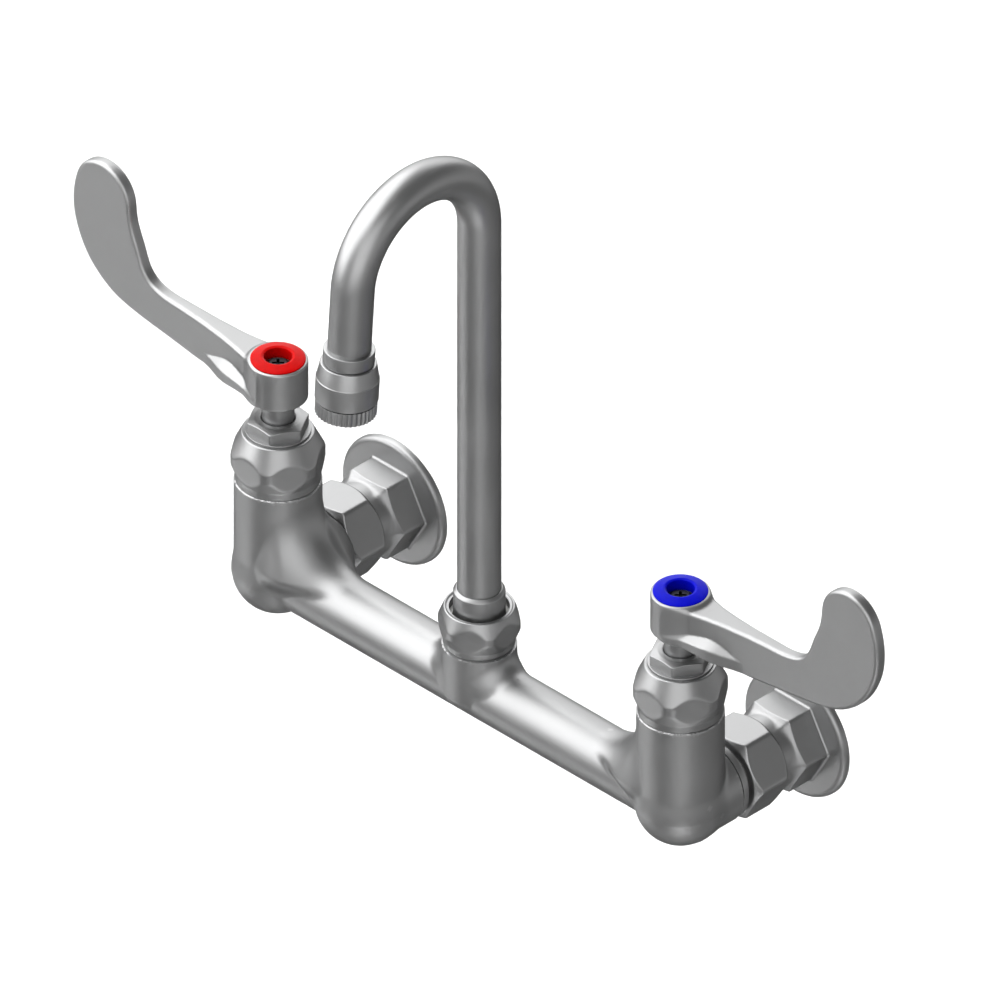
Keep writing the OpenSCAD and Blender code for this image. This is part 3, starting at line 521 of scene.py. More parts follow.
def blade_outline():
    """The blade's outline in its own plane, as (distance from the hub, height) points."""
    places = [Vector((s[0] * REACH, s[1] * RISE, s[2] * BLADE_W)) for s in BLADE_SHARES]
    places.insert(0, places[0] * 2 - places[1])
    places.append(places[-1] * 2 - places[-2])
    curve = [
        curve_step(*places[i : i + 4], k / CURVE_STEPS)
        for i in range(len(places) - 3)
        for k in range(CURVE_STEPS)
    ]
    curve.append(places[-2])
    left, right = [], []
    for i, here in enumerate(curve):
        before, after = curve[max(i - 1, 0)], curve[min(i + 1, len(curve) - 1)]
        along = Vector((after.x - before.x, after.y - before.y)).normalized()
        square = Vector((-along.y, along.x)) * here.z / 2
        middle = Vector((here.x, here.y))
        left.append(middle + square)
        right.append(middle - square)
    tip = [
        middle + along * math.sin(a) * here.z / 2 + square * math.cos(a)
        for a in (math.pi * k / TIP_STEPS for k in range(1, TIP_STEPS))
    ]
    return np.array([tuple(v) for v in left + tip + right[::-1]])


def evened(points, step, passes):
    """A closed outline with evenly spaced points and its small waves smoothed away."""
    closed = np.vstack([points, points[:1]])
    along = np.concatenate([[0], np.cumsum(np.hypot(*np.diff(closed, axis=0).T))])
    places = np.arange(0, along[-1], step)
    points = np.stack([np.interp(places, along, closed[:, i]) for i in (0, 1)], 1)
    for _ in range(passes):
        points = (np.roll(points, 1, 0) + points + np.roll(points, -1, 0)) / 3
    return points


BLADE_OUTLINE = evened(blade_outline(), OUTLINE_STEP, OUTLINE_PASSES)


def outline_distance(x, z):
    """Signed distance from the blade's outline, less than zero inside."""
    away = np.full(x.shape, 1e9)
    inside = np.zeros(x.shape, bool)
    for a, b in zip(BLADE_OUTLINE, np.roll(BLADE_OUTLINE, -1, 0)):
        run = b - a
        t = np.clip(((x - a[0]) * run[0] + (z - a[1]) * run[1]) / (run @ run), 0, 1)
        away = np.minimum(away, np.hypot(x - a[0] - run[0] * t, z - a[1] - run[1] * t))
        crosses = (a[1] > z) != (b[1] > z)
        if run[1]:
            inside ^= crosses & (x < a[0] + (z - a[1]) / run[1] * run[0])
    return np.where(inside, -away, away)


def foot_at(x):
    """Half width of the neck's foot and height of its edge, with the corners eased."""
    at = x + np.linspace(-FOOT_EASE, FOOT_EASE, FOOT_SAMPLES)[:, None]
    along, width, height = zip(*NECK_FOOT)
    return np.interp(at, along, width).mean(0), np.interp(at, along, height).mean(0)


def handle_field(p):
    """A handle whose blade runs along +X, with heights from the underside of its hub."""
    x, y, z = p[:, 0], p[:, 1], p[:, 2]
    thick = np.exp(-np.maximum(x, 0) / NECK_FADE)
    depth = BLADE_T + (NECK_ROOT_T - BLADE_T) * thick
    foot, low = foot_at(x)
    ledge = np.maximum(foot - depth / 2, 0)
    depth = depth + 2 * np.clip(low - z + ledge, 0, ledge)
    edge = BLADE_EDGE + (NECK_EDGE - BLADE_EDGE) * thick
    blade = common(outline_distance(x, z), np.abs(y) - depth / 2, edge)
    away = np.hypot(x, y)
    hub = common(away - HUB_R, np.abs(z - HUB_H / 2) - HUB_H / 2, HUB_EDGE)
    whole = join(blade, hub, HUB_BLEND)
    recess = np.maximum(away - INDEX_SKIRT_R - RUN_GAP, HUB_H - INDEX_SKIRT_L - z)
    well = np.maximum(away - INDEX_HOLE_R, HUB_H / 2 + WELL_RISE - z)
    socket = np.maximum(away - STEM_R - RUN_GAP, z - SOCKET_L)
    return np.maximum(whole, -np.minimum(np.minimum(recess, well), socket))


# Places


SPOUT_PLACE = Matrix.Translation((0, AXIS_Y, 0))


def valve_place(side, height=0):
    """Local X points along the blade, and Z up from a height above the inlet axis."""
    mirror = Matrix.Scale(-1, 4, (1, 0, 0)) if side == "hot" else Matrix.Identity(4)
    at = Matrix.Translation((SIDES[side] * VALVE_X, AXIS_Y, 0)) @ mirror
    return at @ Matrix.Translation((0, 0, height))


def inlet_place(side):
    """Local Z points away from the wall."""
    at = Matrix.Translation((SIDES[side] * VALVE_X, 0, 0))
    return at @ Matrix.Rotation(math.pi / 2, 4, "X")


def outlet_place():
    """Local Z points along the flow from the end of the bend."""
    centre = Matrix.Translation((0, AXIS_Y - BEND_R, BEND_H))
    turn = Matrix.Rotation(math.radians(BEND_SWEEP), 4, "X")
    return centre @ turn @ Matrix.Translation((0, BEND_R, 0))


# Materials


class Nodes:
    """A short way to build a node material."""

    def __init__(self, name):
        self.material = bpy.data.materials.new(name)
        self.material.use_nodes = True
        self.tree = self.material.node_tree
        self.shader = self.tree.nodes["Principled BSDF"]
        self.place = self.add("ShaderNodeTexCoord").outputs["Object"]

    def feed(self, socket, value):
        """Links an output to a socket, or sets a constant on it."""
        if isinstance(value, bpy.types.NodeSocket):
            self.tree.links.new(value, socket)
        else:
            socket.default_value = value

    def add(self, kind, links=(), **values):
        """A node with its properties set and its sockets fed."""
        node = self.tree.nodes.new(kind)
        for key, value in values.items():
            setattr(node, key, value)
        for socket, source in dict(links).items():
            self.feed(node.inputs[socket], source)
        return node

    def noise(self, scale, detail=3, stretch=(1, 1, 1), roughness=0.55):
        """Noise with a scale in grains per metre."""
        mapped = self.add("ShaderNodeMapping", {"Vector": self.place, "Scale": stretch})
        links = {
            "Vector": mapped.outputs[0],
            "Scale": scale,
            "Detail": detail,
            "Roughness": roughness,
        }
        return self.add("ShaderNodeTexNoise", links).outputs["Fac"]

    def between(self, source, low, high, start=0.3, end=0.7):
        """A value turned into a range of others."""
        links = {"Value": source, "From Min": start, "From Max": end, "To Min": low, "To Max": high}
        return self.add("ShaderNodeMapRange", links).outputs["Result"]

    def math(self, operation, a, b):
        """A sum, product or other result of two values."""
        return self.add("ShaderNodeMath", {0: a, 1: b}, operation=operation).outputs[0]

    def blend(self, factor, a, b):
        """Two colours mixed by a factor."""
        node = self.add("ShaderNodeMix", data_type="RGBA")
        sockets = {"Factor_Float": factor, "A_Color": a, "B_Color": b}
        for identifier, value in sockets.items():
            self.feed(next(s for s in node.inputs if s.identifier == identifier), value)
        return next(s for s in node.outputs if s.identifier == "Result_Color")

    def bump(self, height, distance, strength):
        """Relief from a height, with its depth in metres."""
        links = {"Height": height, "Distance": distance, "Strength": strength}
        return self.add("ShaderNodeBump", links).outputs["Normal"]

    def set(self, **sockets):
        """Feeds the shader's sockets, named with _ for each space."""
        for name, value in sockets.items():
            self.feed(self.shader.inputs[name.replace("_", " ")], value)


def grey(level, tint=0.0):
    """A grey that a tint cools."""
    return (level * (1 - tint), level * (1 - tint / 2), level, 1)


def shade(colour, share=1):
    """A colour with its brightness scaled."""
    return tuple(c * share for c in colour) + (1,)


def plated(name, level, roughness, grain, relief, stretch=(1, 1, 1), tint=0.01):
    """Plated metal with a fine surface grain, soft patches, scratches, and edges that are worn smoother and
    lightened as a painted highlight.
    """
    n = Nodes(name)
    patches = n.noise(38, 4)
    fine = n.noise(grain, 3, stretch)
    scratches = n.noise(900, 2, (1, 0.06, 1.3), 0.7)
    edges = n.add("ShaderNodeNewGeometry").outputs["Pointiness"]
    # Edges that stand out: worn smoother, and lightened in colour as a painted highlight
    worn_and_highlit = n.between(edges, 0, 1, WORN_HIGHLIGHT_START, WORN_HIGHLIGHT_END)
    rough = n.between(patches, roughness - 0.035, roughness + 0.045)
    rough = n.math("SUBTRACT", rough, n.math("MULTIPLY", worn_and_highlit, 0.05))
    rough = n.math("ADD", rough, n.between(scratches, 0, 0.05, 0.6, 0.75))
    base = n.blend(n.between(patches, 0, 1), grey(level * 0.96, tint), grey(level * 1.04, tint))
    # Painted highlight: the colour is lightened on edges that stand out
    base = n.blend(n.math("MULTIPLY", worn_and_highlit, 0.3), base, grey(min(level * 1.5, 0.9), tint))
    n.set(Base_Color=base, Roughness=rough, Metallic=1.0, Specular_Tint=grey(EDGE_TINT))
    n.set(Normal=n.bump(fine, relief, 0.6))
    return n.material


def plastic(name, colour, roughness, coat):
    """Moulded plastic with a slight orange peel and fine dust marks."""
    n = Nodes(name)
    peel = n.noise(1400, 2)
    marks = n.noise(420, 4)
    base = n.blend(n.between(marks, 0, 1), shade(colour, 0.82), shade(colour))
    n.set(Base_Color=base, Roughness=n.between(marks, roughness, roughness + 0.1))
    n.set(Coat_Weight=coat, Coat_Roughness=0.12, Specular_IOR_Level=0.05)
    n.set(Normal=n.bump(peel, 0.00002, 0.5))
    return n.material


def dull(name, colour, roughness, grain, relief):
    """Rubber, fibre or fired ceramic: fine grained, with uneven tone."""
    n = Nodes(name)
    fine = n.noise(grain, 5)
    tone = n.noise(grain / 12, 3)
    base = n.blend(n.between(tone, 0, 1), shade(colour, 0.75), shade(colour))
    n.set(Base_Color=base, Roughness=n.between(fine, roughness - 0.08, roughness + 0.08))
    n.set(Normal=n.bump(fine, relief, 0.7))
    return n.material


def raw_metal(name, colour, roughness, stretch):
    """Machined metal with tool lines across one direction."""
    n = Nodes(name)
    lines = n.noise(60, 3, stretch)
    patches = n.noise(60, 3)
    base = n.blend(n.between(patches, 0, 1), shade(colour, 0.8), shade(colour))
    n.set(Base_Color=base, Metallic=1.0, Roughness=n.between(lines, roughness, roughness + 0.12))
    n.set(Normal=n.bump(lines, 0.00002, 0.5))
    return n.material


def woven(name, colour):
    """Fine wire mesh: two crossing sets of wires, with the gaps between them painted near black as painted shade.
    """
    n = Nodes(name)
    wires = []
    for turn in (0, math.pi / 2):
        links = {"Vector": n.place, "Rotation": (0, 0, turn)}
        mapped = n.add("ShaderNodeMapping", links)
        wave = n.add("ShaderNodeTexWave", {"Vector": mapped.outputs[0], "Scale": 520.0})
        wires.append(wave.outputs["Fac"])
    height = n.math("MAXIMUM", *wires)
    # Painted shade: the gaps between the wires are coloured near black
    base = n.blend(n.between(height, 0, 1, 0.35, 0.8), grey(0.01), shade(colour))
    n.set(Base_Color=base, Metallic=1.0, Roughness=n.between(height, 0.6, 0.3))
    n.set(Normal=n.bump(height, 0.0002, 0.8))
    return n.material


def paint(name, level):
    """Matt paint with a faint unevenness."""
    n = Nodes(name)
    tone = n.noise(3, 3)
    base = n.blend(n.between(tone, 0, 1), grey(level * 0.99), grey(level))
    n.set(Base_Color=base, Roughness=0.9)
    return n.material


MATERIALS = {
    "chrome_casting": plated("cast_plating", PLATING, 0.43, 1500, 0.00002),
    "chrome_blade": plated("blade_plating", PLATING, 0.43, 1900, 0.000012, (1, 1, 0.35)),
    "chrome_turned": plated("turned_plating", PLATING, 0.38, 60, 0.000012, (1, 60, 60)),
    "chrome_tube": plated("tube_plating", PLATING, 0.4, 70, 0.00001, (40, 40, 2)),
    "stem_brass": plated("stem_plating", PLATING, 0.38, 60, 0.00001, (1, 1, 60)),
    "cartridge_brass": raw_metal("cartridge_metal", (0.72, 0.56, 0.28), 0.28, (1, 1, 60)),
    "screw_steel": raw_metal("screw_metal", (0.05, 0.05, 0.055), 0.4, (20, 20, 1)),
    "hot_red": plastic("red_index", (0.6, 0.002, 0.002), 0.35, 0.02),
    "cold_blue": plastic("blue_index", (0.002, 0.004, 0.6), 0.35, 0.02),
    "seal_rubber": dull("seal", (0.03, 0.03, 0.03), 0.6, 2500, 0.00004),
    "fibre_washer": dull("fibre", (0.22, 0.10, 0.07), 0.75, 1800, 0.00006),
    "white_ptfe": dull("white_washer", (0.85, 0.85, 0.83), 0.45, 2200, 0.00002),
    "fixed_ceramic": dull("pale_ceramic", (0.90, 0.89, 0.86), 0.25, 3000, 0.000008),
    "moving_ceramic": dull("dark_ceramic", (0.30, 0.30, 0.31), 0.22, 3000, 0.000008),
    "core_plastic": plastic("outlet_core", (0.75, 0.76, 0.76), 0.35, 0.1),
    "screen_steel": woven("outlet_screen", (0.45, 0.45, 0.46)),
}


# Pieces


def make_piece(name, parts, place, body, slot, nodes, sharp=SHARP):
    """One object from several (points, faces) parts, set at a place in the row frame."""
    points, faces = [], []
    for part_points, part_faces in parts:
        start = len(points)
        points.extend(tuple(p) for p in part_points)
        faces.extend(tuple(int(i) + start for i in f) for f in part_faces)
    mesh = bpy.data.meshes.new(name)
    mesh.from_pydata(points, [], faces)
    mesh.validate()
    mesh.transform(Matrix.Scale(MM, 4) @ place)
    if place.determinant() < 0:
        mesh.flip_normals()
    mesh.shade_smooth()
    mesh.set_sharp_from_angle(angle=math.radians(sharp))
    mesh.materials.append(MATERIALS[slot])
    piece = bpy.data.objects.new(name, mesh)
    bpy.context.scene.collection.objects.link(piece)
    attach(piece, body)
    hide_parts(*nodes)
    return piece


def build_turned(name, node, outline, place, body, slot, edge=0.3):
    """A plain turned piece from an outline, which is closed here."""
    mesh = round_mesh(outline + outline[:1], edge)
    make_piece(name, [mesh], place, body, slot, [node])


def leg_outline():
    """Thread, collar and groove of an inlet leg."""
    inner = THREAD_R - LEG_RING_T
    root = THREAD_R - THREAD_DEPTH
    collar = HOUSING_R - COLLAR_CUT
    collar_end = LEG_END - LEG_COLLAR_L
    outline = [(inner, THREAD_END), (root, THREAD_END)]
    for i in range(int((collar_end - THREAD_END - THREAD_SPARE_L) / THREAD_PITCH)):
        z = THREAD_END + THREAD_START_L + i * THREAD_PITCH
        outline.append((root, z))
        outline += [(THREAD_R, z + THREAD_PITCH * share) for share in THREAD_CREST]
    return outline + [
        (root, collar_end - THREAD_RUNOUT_L),
        (root, collar_end),
        (collar, collar_end),
        (collar, LEG_END - GROOVE_W),
        (HOUSING_R - GROOVE_DEPTH, LEG_END - GROOVE_W),
        (HOUSING_R - GROOVE_DEPTH, LEG_END + LEG_OVERLAP),
        (inner, LEG_END + LEG_OVERLAP),
    ]


def build_casting():
    """The cast body, with the turned collars and threads of its two inlet legs."""
    reach = VALVE_X + ELBOW_R + GRID_MARGIN
    low = (-reach, -ELBOW_R - GRID_MARGIN, -ELBOW_R - GRID_MARGIN)
    high = (reach, LEG_L + GRID_MARGIN, HOUSING_TOP + GRID_MARGIN)
    points, faces = skin_of(casting_field, low, high, CASTING_STEP)
    parts = [(points + np.array((0, AXIS_Y, 0)), faces)]
    points, faces = round_mesh(leg_outline(), edge=0.25, steps=2)
    for side in SIDES:
        place = inlet_place(side)
        parts.append(([place @ Vector(p) for p in points], faces))
    at = Matrix.Identity(4)
    make_piece("casting", parts, at, "body", "chrome_casting", ["body_casting"], CAST_SHARP)


def build_union_nut(side):
    """The nut that draws an inlet flange to its leg."""
    corner = hex_corner(UNION_AF)
    chamfer = corner - UNION_AF / 2 + NUT_CHAMFER
    outline = [
        (TAIL_R + RUN_GAP * 2, NUT_REAR),
        (corner - chamfer, NUT_REAR),
        (corner, NUT_REAR + chamfer),
        (corner, NUT_FRONT - chamfer * NUT_FRONT_SHARE),
        (corner - chamfer, NUT_FRONT),
        (THREAD_R + RUN_GAP, NUT_FRONT),
    ]
    mesh = hex_mesh(outline, UNION_AF, edge=0.4, step=0.3)
    name, node = f"{side}_union", f"{side}_union_nut"
    make_piece(name, [mesh], inlet_place(side), "body", "chrome_turned", [node])


def build_inlet_flange(side):
    """A round wall plate that runs up into a cast hexagon, with its threaded tail."""
    rows = []
    for k in range(HEX_SIDES):
        angle = 2 * math.pi * k / HEX_SIDES
        reach = hex_radius(angle, FLANGE_HEX_AF)
        flare = (reach - FLANGE_NECK_R) * FLARE_SLOPE
        outline = [
            (INLET_BORE_R, 0.0),
            (FLANGE_R, 0.0),
            (FLANGE_R, FLANGE_T, FLANGE_ROUND),
            (reach, FLANGE_T, FLANGE_FILLET),
            (reach, FLANGE_HEX_L - flare / 2),
            (FLANGE_NECK_R, FLANGE_HEX_L + flare / 2, FLARE_R),
            (FLANGE_NECK_R, FLANGE_NECK_END),
            (TAIL_R, FLANGE_NECK_END),
            (TAIL_R, TAIL_END - TAIL_COLLAR_L),
            (THREAD_R - TAIL_COLLAR_CUT, TAIL_END - TAIL_COLLAR_L),
            (THREAD_R - TAIL_COLLAR_CUT, TAIL_END),
            (TAIL_BORE_R, TAIL_END),
            (TAIL_BORE_R, INLET_BORE_L),
            (INLET_BORE_R, INLET_BORE_L),
        ]
        smoothed = rounded(outline, FLANGE_EDGE, 6)
        rows.append([(r * math.cos(angle), r * math.sin(angle), z) for r, z in smoothed])
    mesh = ring_mesh(list(zip(*rows)))
    name, node = f"{side}_flange", f"{side}_inlet_flange"
    make_piece(name, [mesh], inlet_place(side), "body", "chrome_casting", [node])


def build_bonnet_nut(side):
    """The large nut with a coned top on a valve housing."""
    collar = HOUSING_R - COLLAR_CUT
    collar_top = HOUSING_TOP + BONNET_COLLAR_H
    band = collar_top + BONNET_CHAMFER_H
    outline = [
        (PACKING_TOP_R, HOUSING_TOP),
        (collar, HOUSING_TOP),
        (collar, collar_top),
        (BONNET_BAND_R, band),
        (BONNET_BAND_R, band + BONNET_BAND_H),
        (BONNET_TOP_R, BONNET_TOP),
        (PACKING_TOP_R, BONNET_TOP),
    ]
    mesh = hex_mesh(outline, BONNET_AF, edge=0.45, sides=LARGE_HEX_SIDES)
    name, node = f"{side}_bonnet", f"{side}_bonnet_nut"
    make_piece(name, [mesh], valve_place(side), "body", "chrome_turned", [node])


def build_packing_nut(side):
    """The small nut round a stem, on its round flange."""
    hex_low = BONNET_TOP + PACKING_FLANGE_H
    corner = hex_corner(PACKING_AF)
    flange = [
        (PACKING_BORE_R, BONNET_TOP),
        (PACKING_FLANGE_R, BONNET_TOP),
        (PACKING_FLANGE_R, hex_low),
        (PACKING_BORE_R, hex_low),
    ]
    nut = [
        (PACKING_BORE_R, hex_low - PACKING_OVERLAP),
        (corner, hex_low - PACKING_OVERLAP),
        (corner, PACKING_TOP - PACKING_CHAMFER_H),
        (PACKING_TOP_R, PACKING_TOP),
        (PACKING_BORE_R + PACKING_MOUTH, PACKING_TOP),
        (PACKING_BORE_R, PACKING_TOP - PACKING_MOUTH),
    ]
    parts = [round_mesh(flange, edge=0.2, steps=3), hex_mesh(nut, PACKING_AF, edge=0.3)]
    name, node = f"{side}_packing", f"{side}_packing_nut"
    make_piece(name, parts, valve_place(side), "body", "chrome_turned", [node])


def build_stem(side):
    """The part of a stem that shows between its packing nut and the hub."""
    outline = [
        (STEM_CORE_R, BONNET_TOP - STEM_SUNK),
        (STEM_R, BONNET_TOP - STEM_SUNK),
        (STEM_R, HUB_LOW + SOCKET_L),
        (STEM_CORE_R, HUB_LOW + SOCKET_L),
    ]
    name, node, body = f"{side}_spindle", f"{side}_stem", f"{side}_valve"
    build_turned(name, node, outline, valve_place(side), body, "stem_brass")


def handle_skin():
    """The mesh that both handles share."""
    side = HUB_R + HUB_GRID_MARGIN
    low = (-side, -side, -GRID_BELOW_HUB)
    high = (REACH + GRID_MARGIN, side, RISE + GRID_MARGIN)
    return skin_of(handle_field, low, high, HANDLE_STEP)


def build_handle(side, skin):
    """A wrist blade with its hub and neck."""
    name, node, body = f"{side}_lever", f"{side}_handle", f"{side}_valve"
    place = valve_place(side, HUB_LOW)
    make_piece(name, [skin], place, body, "chrome_blade", [node], CAST_SHARP)


def build_index_ring(side):
    """The coloured ring on top of a hub."""
    rim = HUB_R - INDEX_RIM
    outline = [
        (INDEX_HOLE_R, -INDEX_SKIRT_L),
        (INDEX_SKIRT_R, -INDEX_SKIRT_L),
        (INDEX_SKIRT_R, 0),
        (rim, 0),
        (rim, INDEX_H * INDEX_SIDE_SHARE),
        (HUB_R - INDEX_DOME_RIM, INDEX_H * INDEX_DOME_SHARE),
        (INDEX_HOLE_R + INDEX_LIP_W, INDEX_H),
        (INDEX_HOLE_R, INDEX_H - INDEX_LIP_H),
    ]
    mesh = round_mesh(outline, edge=0.3)
    slot = "hot_red" if side == "hot" else "cold_blue"
    name, node, body = f"{side}_index", f"{side}_index_ring", f"{side}_valve"
    make_piece(name, [mesh], valve_place(side, HUB_TOP), body, slot, [node])


def build_spout_nut():
    """The nut that holds the spout's sleeve in the boss."""
    cone_low = SPOUT_NUT_TOP - SPOUT_NUT_CONE_H
    band_low = cone_low - SPOUT_NUT_BAND_H
    ring_top = band_low - SPOUT_NUT_FLARE_H
    ring_low = ring_top - SPOUT_NUT_RING_H
    mouth = SPOUT_NUT_TOP - SPOUT_NUT_MOUTH_H
    outline = [
        (SPOUT_NUT_BORE_R, BOSS_TOP),
        (SPOUT_NUT_FOOT_R, BOSS_TOP),
        (SPOUT_NUT_FOOT_R, ring_low),
        (SPOUT_NUT_RING_R, ring_low),
        (SPOUT_NUT_RING_R, ring_top),
        (SPOUT_NUT_BAND_R, band_low),
        (SPOUT_NUT_BAND_R, cone_low),
        (SPOUT_NUT_TOP_R, SPOUT_NUT_TOP),
        (SPOUT_NUT_LIP_R, SPOUT_NUT_TOP),
        (SPOUT_NUT_MOUTH_R, mouth),
        (SPOUT_NUT_BORE_R, mouth),
    ]
    mesh = hex_mesh(outline, SPOUT_NUT_AF, edge=0.35, sides=LARGE_HEX_SIDES, hex_turned=30)
    make_piece("spout_union", [mesh], SPOUT_PLACE, "body", "chrome_turned", ["spout_nut"])


def build_sleeve():
    """The swivel sleeve round the foot of the gooseneck."""
    outline = [
        (NECK_R, SLEEVE_LOW),
        (SLEEVE_FOOT_R, SLEEVE_LOW),
        (SLEEVE_FOOT_R, SLEEVE_FOOT_TOP),
        (SLEEVE_R, SLEEVE_FOOT_TOP),
        (SLEEVE_R, SLEEVE_TOP - SLEEVE_EDGE_H),
        (NECK_R + SLEEVE_LIP, SLEEVE_TOP),
        (NECK_R, SLEEVE_TOP),
    ]
    name, node, slot = "swivel_sleeve", "spout_sleeve", "chrome_turned"
    build_turned(name, node, outline, SPOUT_PLACE, "spout", slot)


def neck_path():
    """Centre points of the gooseneck in its plane, with the turn of the tube at each."""
    path = [(0.0, z, 0.0) for z in np.linspace(NECK_LOW, BEND_H, RISER_STEPS)]
    for a in np.linspace(0, BEND_SWEEP, BEND_STEPS)[1:]:
        angle = math.radians(a)
        y = -BEND_R + BEND_R * math.cos(angle)
        path.append((y, BEND_H + BEND_R * math.sin(angle), angle))
    y, z, angle = path[-1]
    run = OUTLET_L - OUTLET_COLLAR_L / 2
    for t in np.linspace(0, run, DROP_STEPS)[1:]:
        path.append((y - t * math.sin(angle), z + t * math.cos(angle), angle))
    return path


def build_neck():
    """The gooseneck tube: an outer and an inner skin, both open at their ends."""
    parts = []
    for radius, inner in ((NECK_R, False), (NECK_R - NECK_WALL, True)):
        rings = []
        for y, z, angle in neck_path():
            ring = []
            for k in range(NECK_SIDES):
                a = 2 * math.pi * k / NECK_SIDES
                out = radius * math.sin(a)
                at = (y + out * math.cos(angle), z + out * math.sin(angle))
                ring.append((radius * math.cos(a), *at))
            rings.append(ring)
        parts.append(ring_mesh(rings, closed=False, flip=inner))
    node = ["gooseneck_tube"]
    make_piece("gooseneck", parts, SPOUT_PLACE, "spout", "chrome_tube", node)


def build_outlet():
    """The collar at the end of the gooseneck and the aerator's housing."""
    place, slot = outlet_place(), "chrome_turned"
    collar = [
        (NECK_R, OUTLET_L - OUTLET_COLLAR_L),
        (OUTLET_COLLAR_R, OUTLET_L - OUTLET_COLLAR_L),
        (OUTLET_COLLAR_R, OUTLET_L - OUTLET_COLLAR_LIP_H),
        (OUTLET_COLLAR_R - OUTLET_COLLAR_LIP_W, OUTLET_L),
        (NECK_R, OUTLET_L),
    ]
    build_turned("outlet_sleeve", "outlet_collar", collar, place, "spout", slot, 0.35)
    cone_end = OUTLET_L + AERATOR_CONE_L
    housing = [
        (NECK_R, OUTLET_L),
        (AERATOR_CONE_R, OUTLET_L),
        (AERATOR_R - AERATOR_EDGE_W, cone_end),
        (AERATOR_R, cone_end + AERATOR_EDGE_L),
        (AERATOR_R, AERATOR_END),
        (AERATOR_R - AERATOR_RIM, AERATOR_END),
        (NECK_R, AERATOR_END - AERATOR_DISH),
    ]
    build_turned("outlet_shell", "aerator_housing", housing, place, "spout", slot, 0.35)


def build_grip():
    """The aerator's knurled ring, whose tail reaches into the housing."""
    outline = [
        (OUTLET_HOLE_R, KNURL_LOW - GRIP_TAIL_L),
        (KNURL_R - GRIP_TAIL_CUT, KNURL_LOW - GRIP_TAIL_L),
        (KNURL_R - GRIP_TAIL_CUT, KNURL_LOW),
        (KNURL_R, KNURL_LOW),
        (KNURL_R, KNURL_END - KNURL_CHAMFER_L),
        (KNURL_R - KNURL_CHAMFER_W, KNURL_END),
        (OUTLET_HOLE_R + HOLE_CHAMFER_W, KNURL_END),
        (OUTLET_HOLE_R, KNURL_END - HOLE_CHAMFER_L),
    ]
    sides = KNURL_COUNT * KNURL_SIDES
    rings = []
    for r, z in rounded(outline, 0.2, 3):
        depth = KNURL_DEPTH if KNURL_LOW < z and r > KNURL_R - KNURL_BAND else 0
        ring = []
        for k in range(sides):
            angle = 2 * math.pi * k / sides
            groove = 0.5 - 0.5 * math.cos(angle * KNURL_COUNT)
            radius = r - depth * (groove**0.5)
            ring.append((radius * math.cos(angle), radius * math.sin(angle), z))
        rings.append(ring)
    parts, slot, nodes = [ring_mesh(rings)], "chrome_turned", ["aerator_ring"]
    make_piece("outlet_grip", parts, outlet_place(), "spout", slot, nodes, KNURL_SHARP)


def dress_carried_nodes():
    """Gives each CAD node that stays its slot's material."""
    slots = {part["node"]: part["material_slot"] for part in frame["record"]["subparts"]}
    for name, node in frame["nodes"].items():
        material = MATERIALS[slots[name]]
        if not node.data.materials:
            node.data.materials.append(material)
        for i in range(len(node.material_slots)):
            node.material_slots[i].material = material


# Studio


def towards(azimuth, elevation):
    """A direction, with azimuths counted from the front towards the cold side."""
    azimuth, elevation = math.radians(azimuth), math.radians(elevation)
    level = math.cos(elevation)
    return Vector((math.sin(azimuth) * level, -math.cos(azimuth) * level, math.sin(elevation)))


def build_floor():
    """A painted floor far below the object, which is also the picture's background."""
    half = FLOOR_SIZE / 2
    mesh = bpy.data.meshes.new("floor")
    corners = [(-half, -half), (half, -half), (half, half), (-half, half)]
    mesh.from_pydata([(x, y, FLOOR_Z) for x, y in corners], [], [(0, 1, 2, 3)])
    mesh.materials.append(paint("floor_paint", FLOOR_LEVEL))
    floor = bpy.data.objects.new("floor", mesh)
    bpy.context.scene.collection.objects.link(floor)


def build_lamp(name, place, aim, size, radiance, spread=180):
    """A square soft lamp with a given brightness on its face."""
    lamp = bpy.data.lights.new(name, "AREA")
    lamp.shape = "SQUARE"
    lamp.size = size
    lamp.energy = radiance * math.pi * size * size
    lamp.spread = math.radians(spread)
    holder = bpy.data.objects.new(name, lamp)
    holder.location = place
    holder.rotation_mode = "QUATERNION"
    holder.rotation_quaternion = (aim - place).to_track_quat("-Z", "Y")
    holder.visible_camera = False
    bpy.context.scene.collection.objects.link(holder)


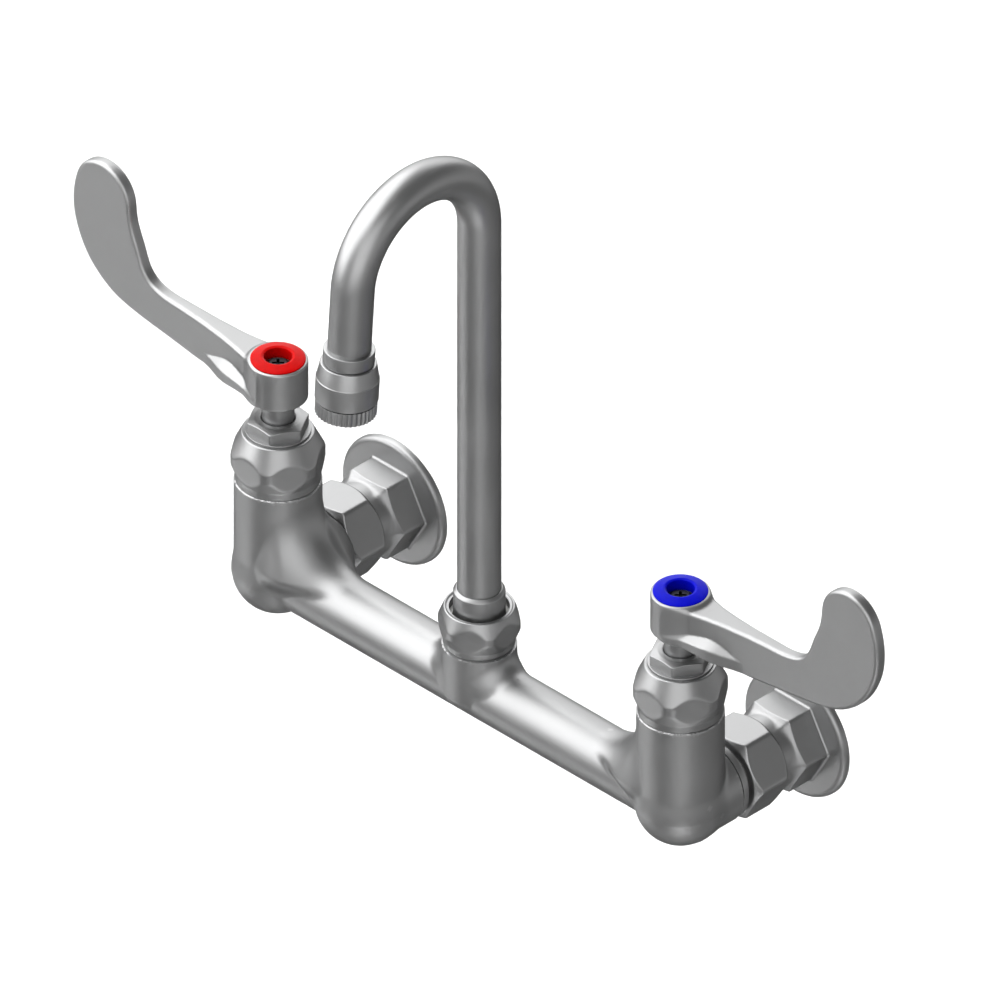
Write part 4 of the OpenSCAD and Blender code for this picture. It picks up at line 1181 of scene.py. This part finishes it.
def build_lamps():
    """The softboxes and the lamps over the floor."""
    for name, (azimuth, elevation, distance, size, radiance) in SOFTBOXES.items():
        place = LAMP_AIM + towards(azimuth, elevation) * distance
        build_lamp(name, place, LAMP_AIM, size, radiance)
    for name, (place, size, radiance, spread) in FLOOR_LAMPS.items():
        place = Vector(place)
        build_lamp(name, place, place - Vector((0, 0, 1)), size, radiance, spread)


def build_world():
    """Pale round the horizon and darker overhead, as a white walled studio."""
    world = bpy.data.worlds.new("studio")
    world.use_nodes = True
    tree = world.node_tree
    place = tree.nodes.new("ShaderNodeTexCoord")
    parts = tree.nodes.new("ShaderNodeSeparateXYZ")
    level = tree.nodes.new("ShaderNodeMapRange")
    ends = (HORIZON_RISE, HORIZON_RISE + HORIZON_FADE, HORIZON_LEVEL, ZENITH_LEVEL)
    for name, value in zip(("From Min", "From Max", "To Min", "To Max"), ends):
        level.inputs[name].default_value = value
    tree.links.new(place.outputs["Generated"], parts.inputs[0])
    tree.links.new(parts.outputs["Z"], level.inputs["Value"])
    tree.links.new(level.outputs["Result"], tree.nodes["Background"].inputs["Color"])
    bpy.context.scene.world = world


def build_camera():
    """A parallel view along the photograph's isometric direction."""
    data = bpy.data.cameras.new("camera")
    data.type = "ORTHO"
    data.ortho_scale = CAMERA_WIDTH
    camera = bpy.data.objects.new("camera", data)
    back = towards(CAMERA_AZIMUTH, CAMERA_ELEVATION)
    camera.location = CAMERA_TARGET + back * CAMERA_DISTANCE
    camera.rotation_mode = "QUATERNION"
    camera.rotation_quaternion = (-back).to_track_quat("-Z", "Y")
    bpy.context.scene.collection.objects.link(camera)
    bpy.context.scene.camera = camera


dress_carried_nodes()
build_casting()
blade_skin = handle_skin()
for side in SIDES:
    build_union_nut(side)
    build_inlet_flange(side)
    build_bonnet_nut(side)
    build_packing_nut(side)
    build_stem(side)
    build_handle(side, blade_skin)
    build_index_ring(side)
build_spout_nut()
build_sleeve()
build_neck()
build_outlet()
build_grip()

build_floor()
build_lamps()
build_world()
build_camera()
bpy.context.scene.view_settings.view_transform = "Standard"
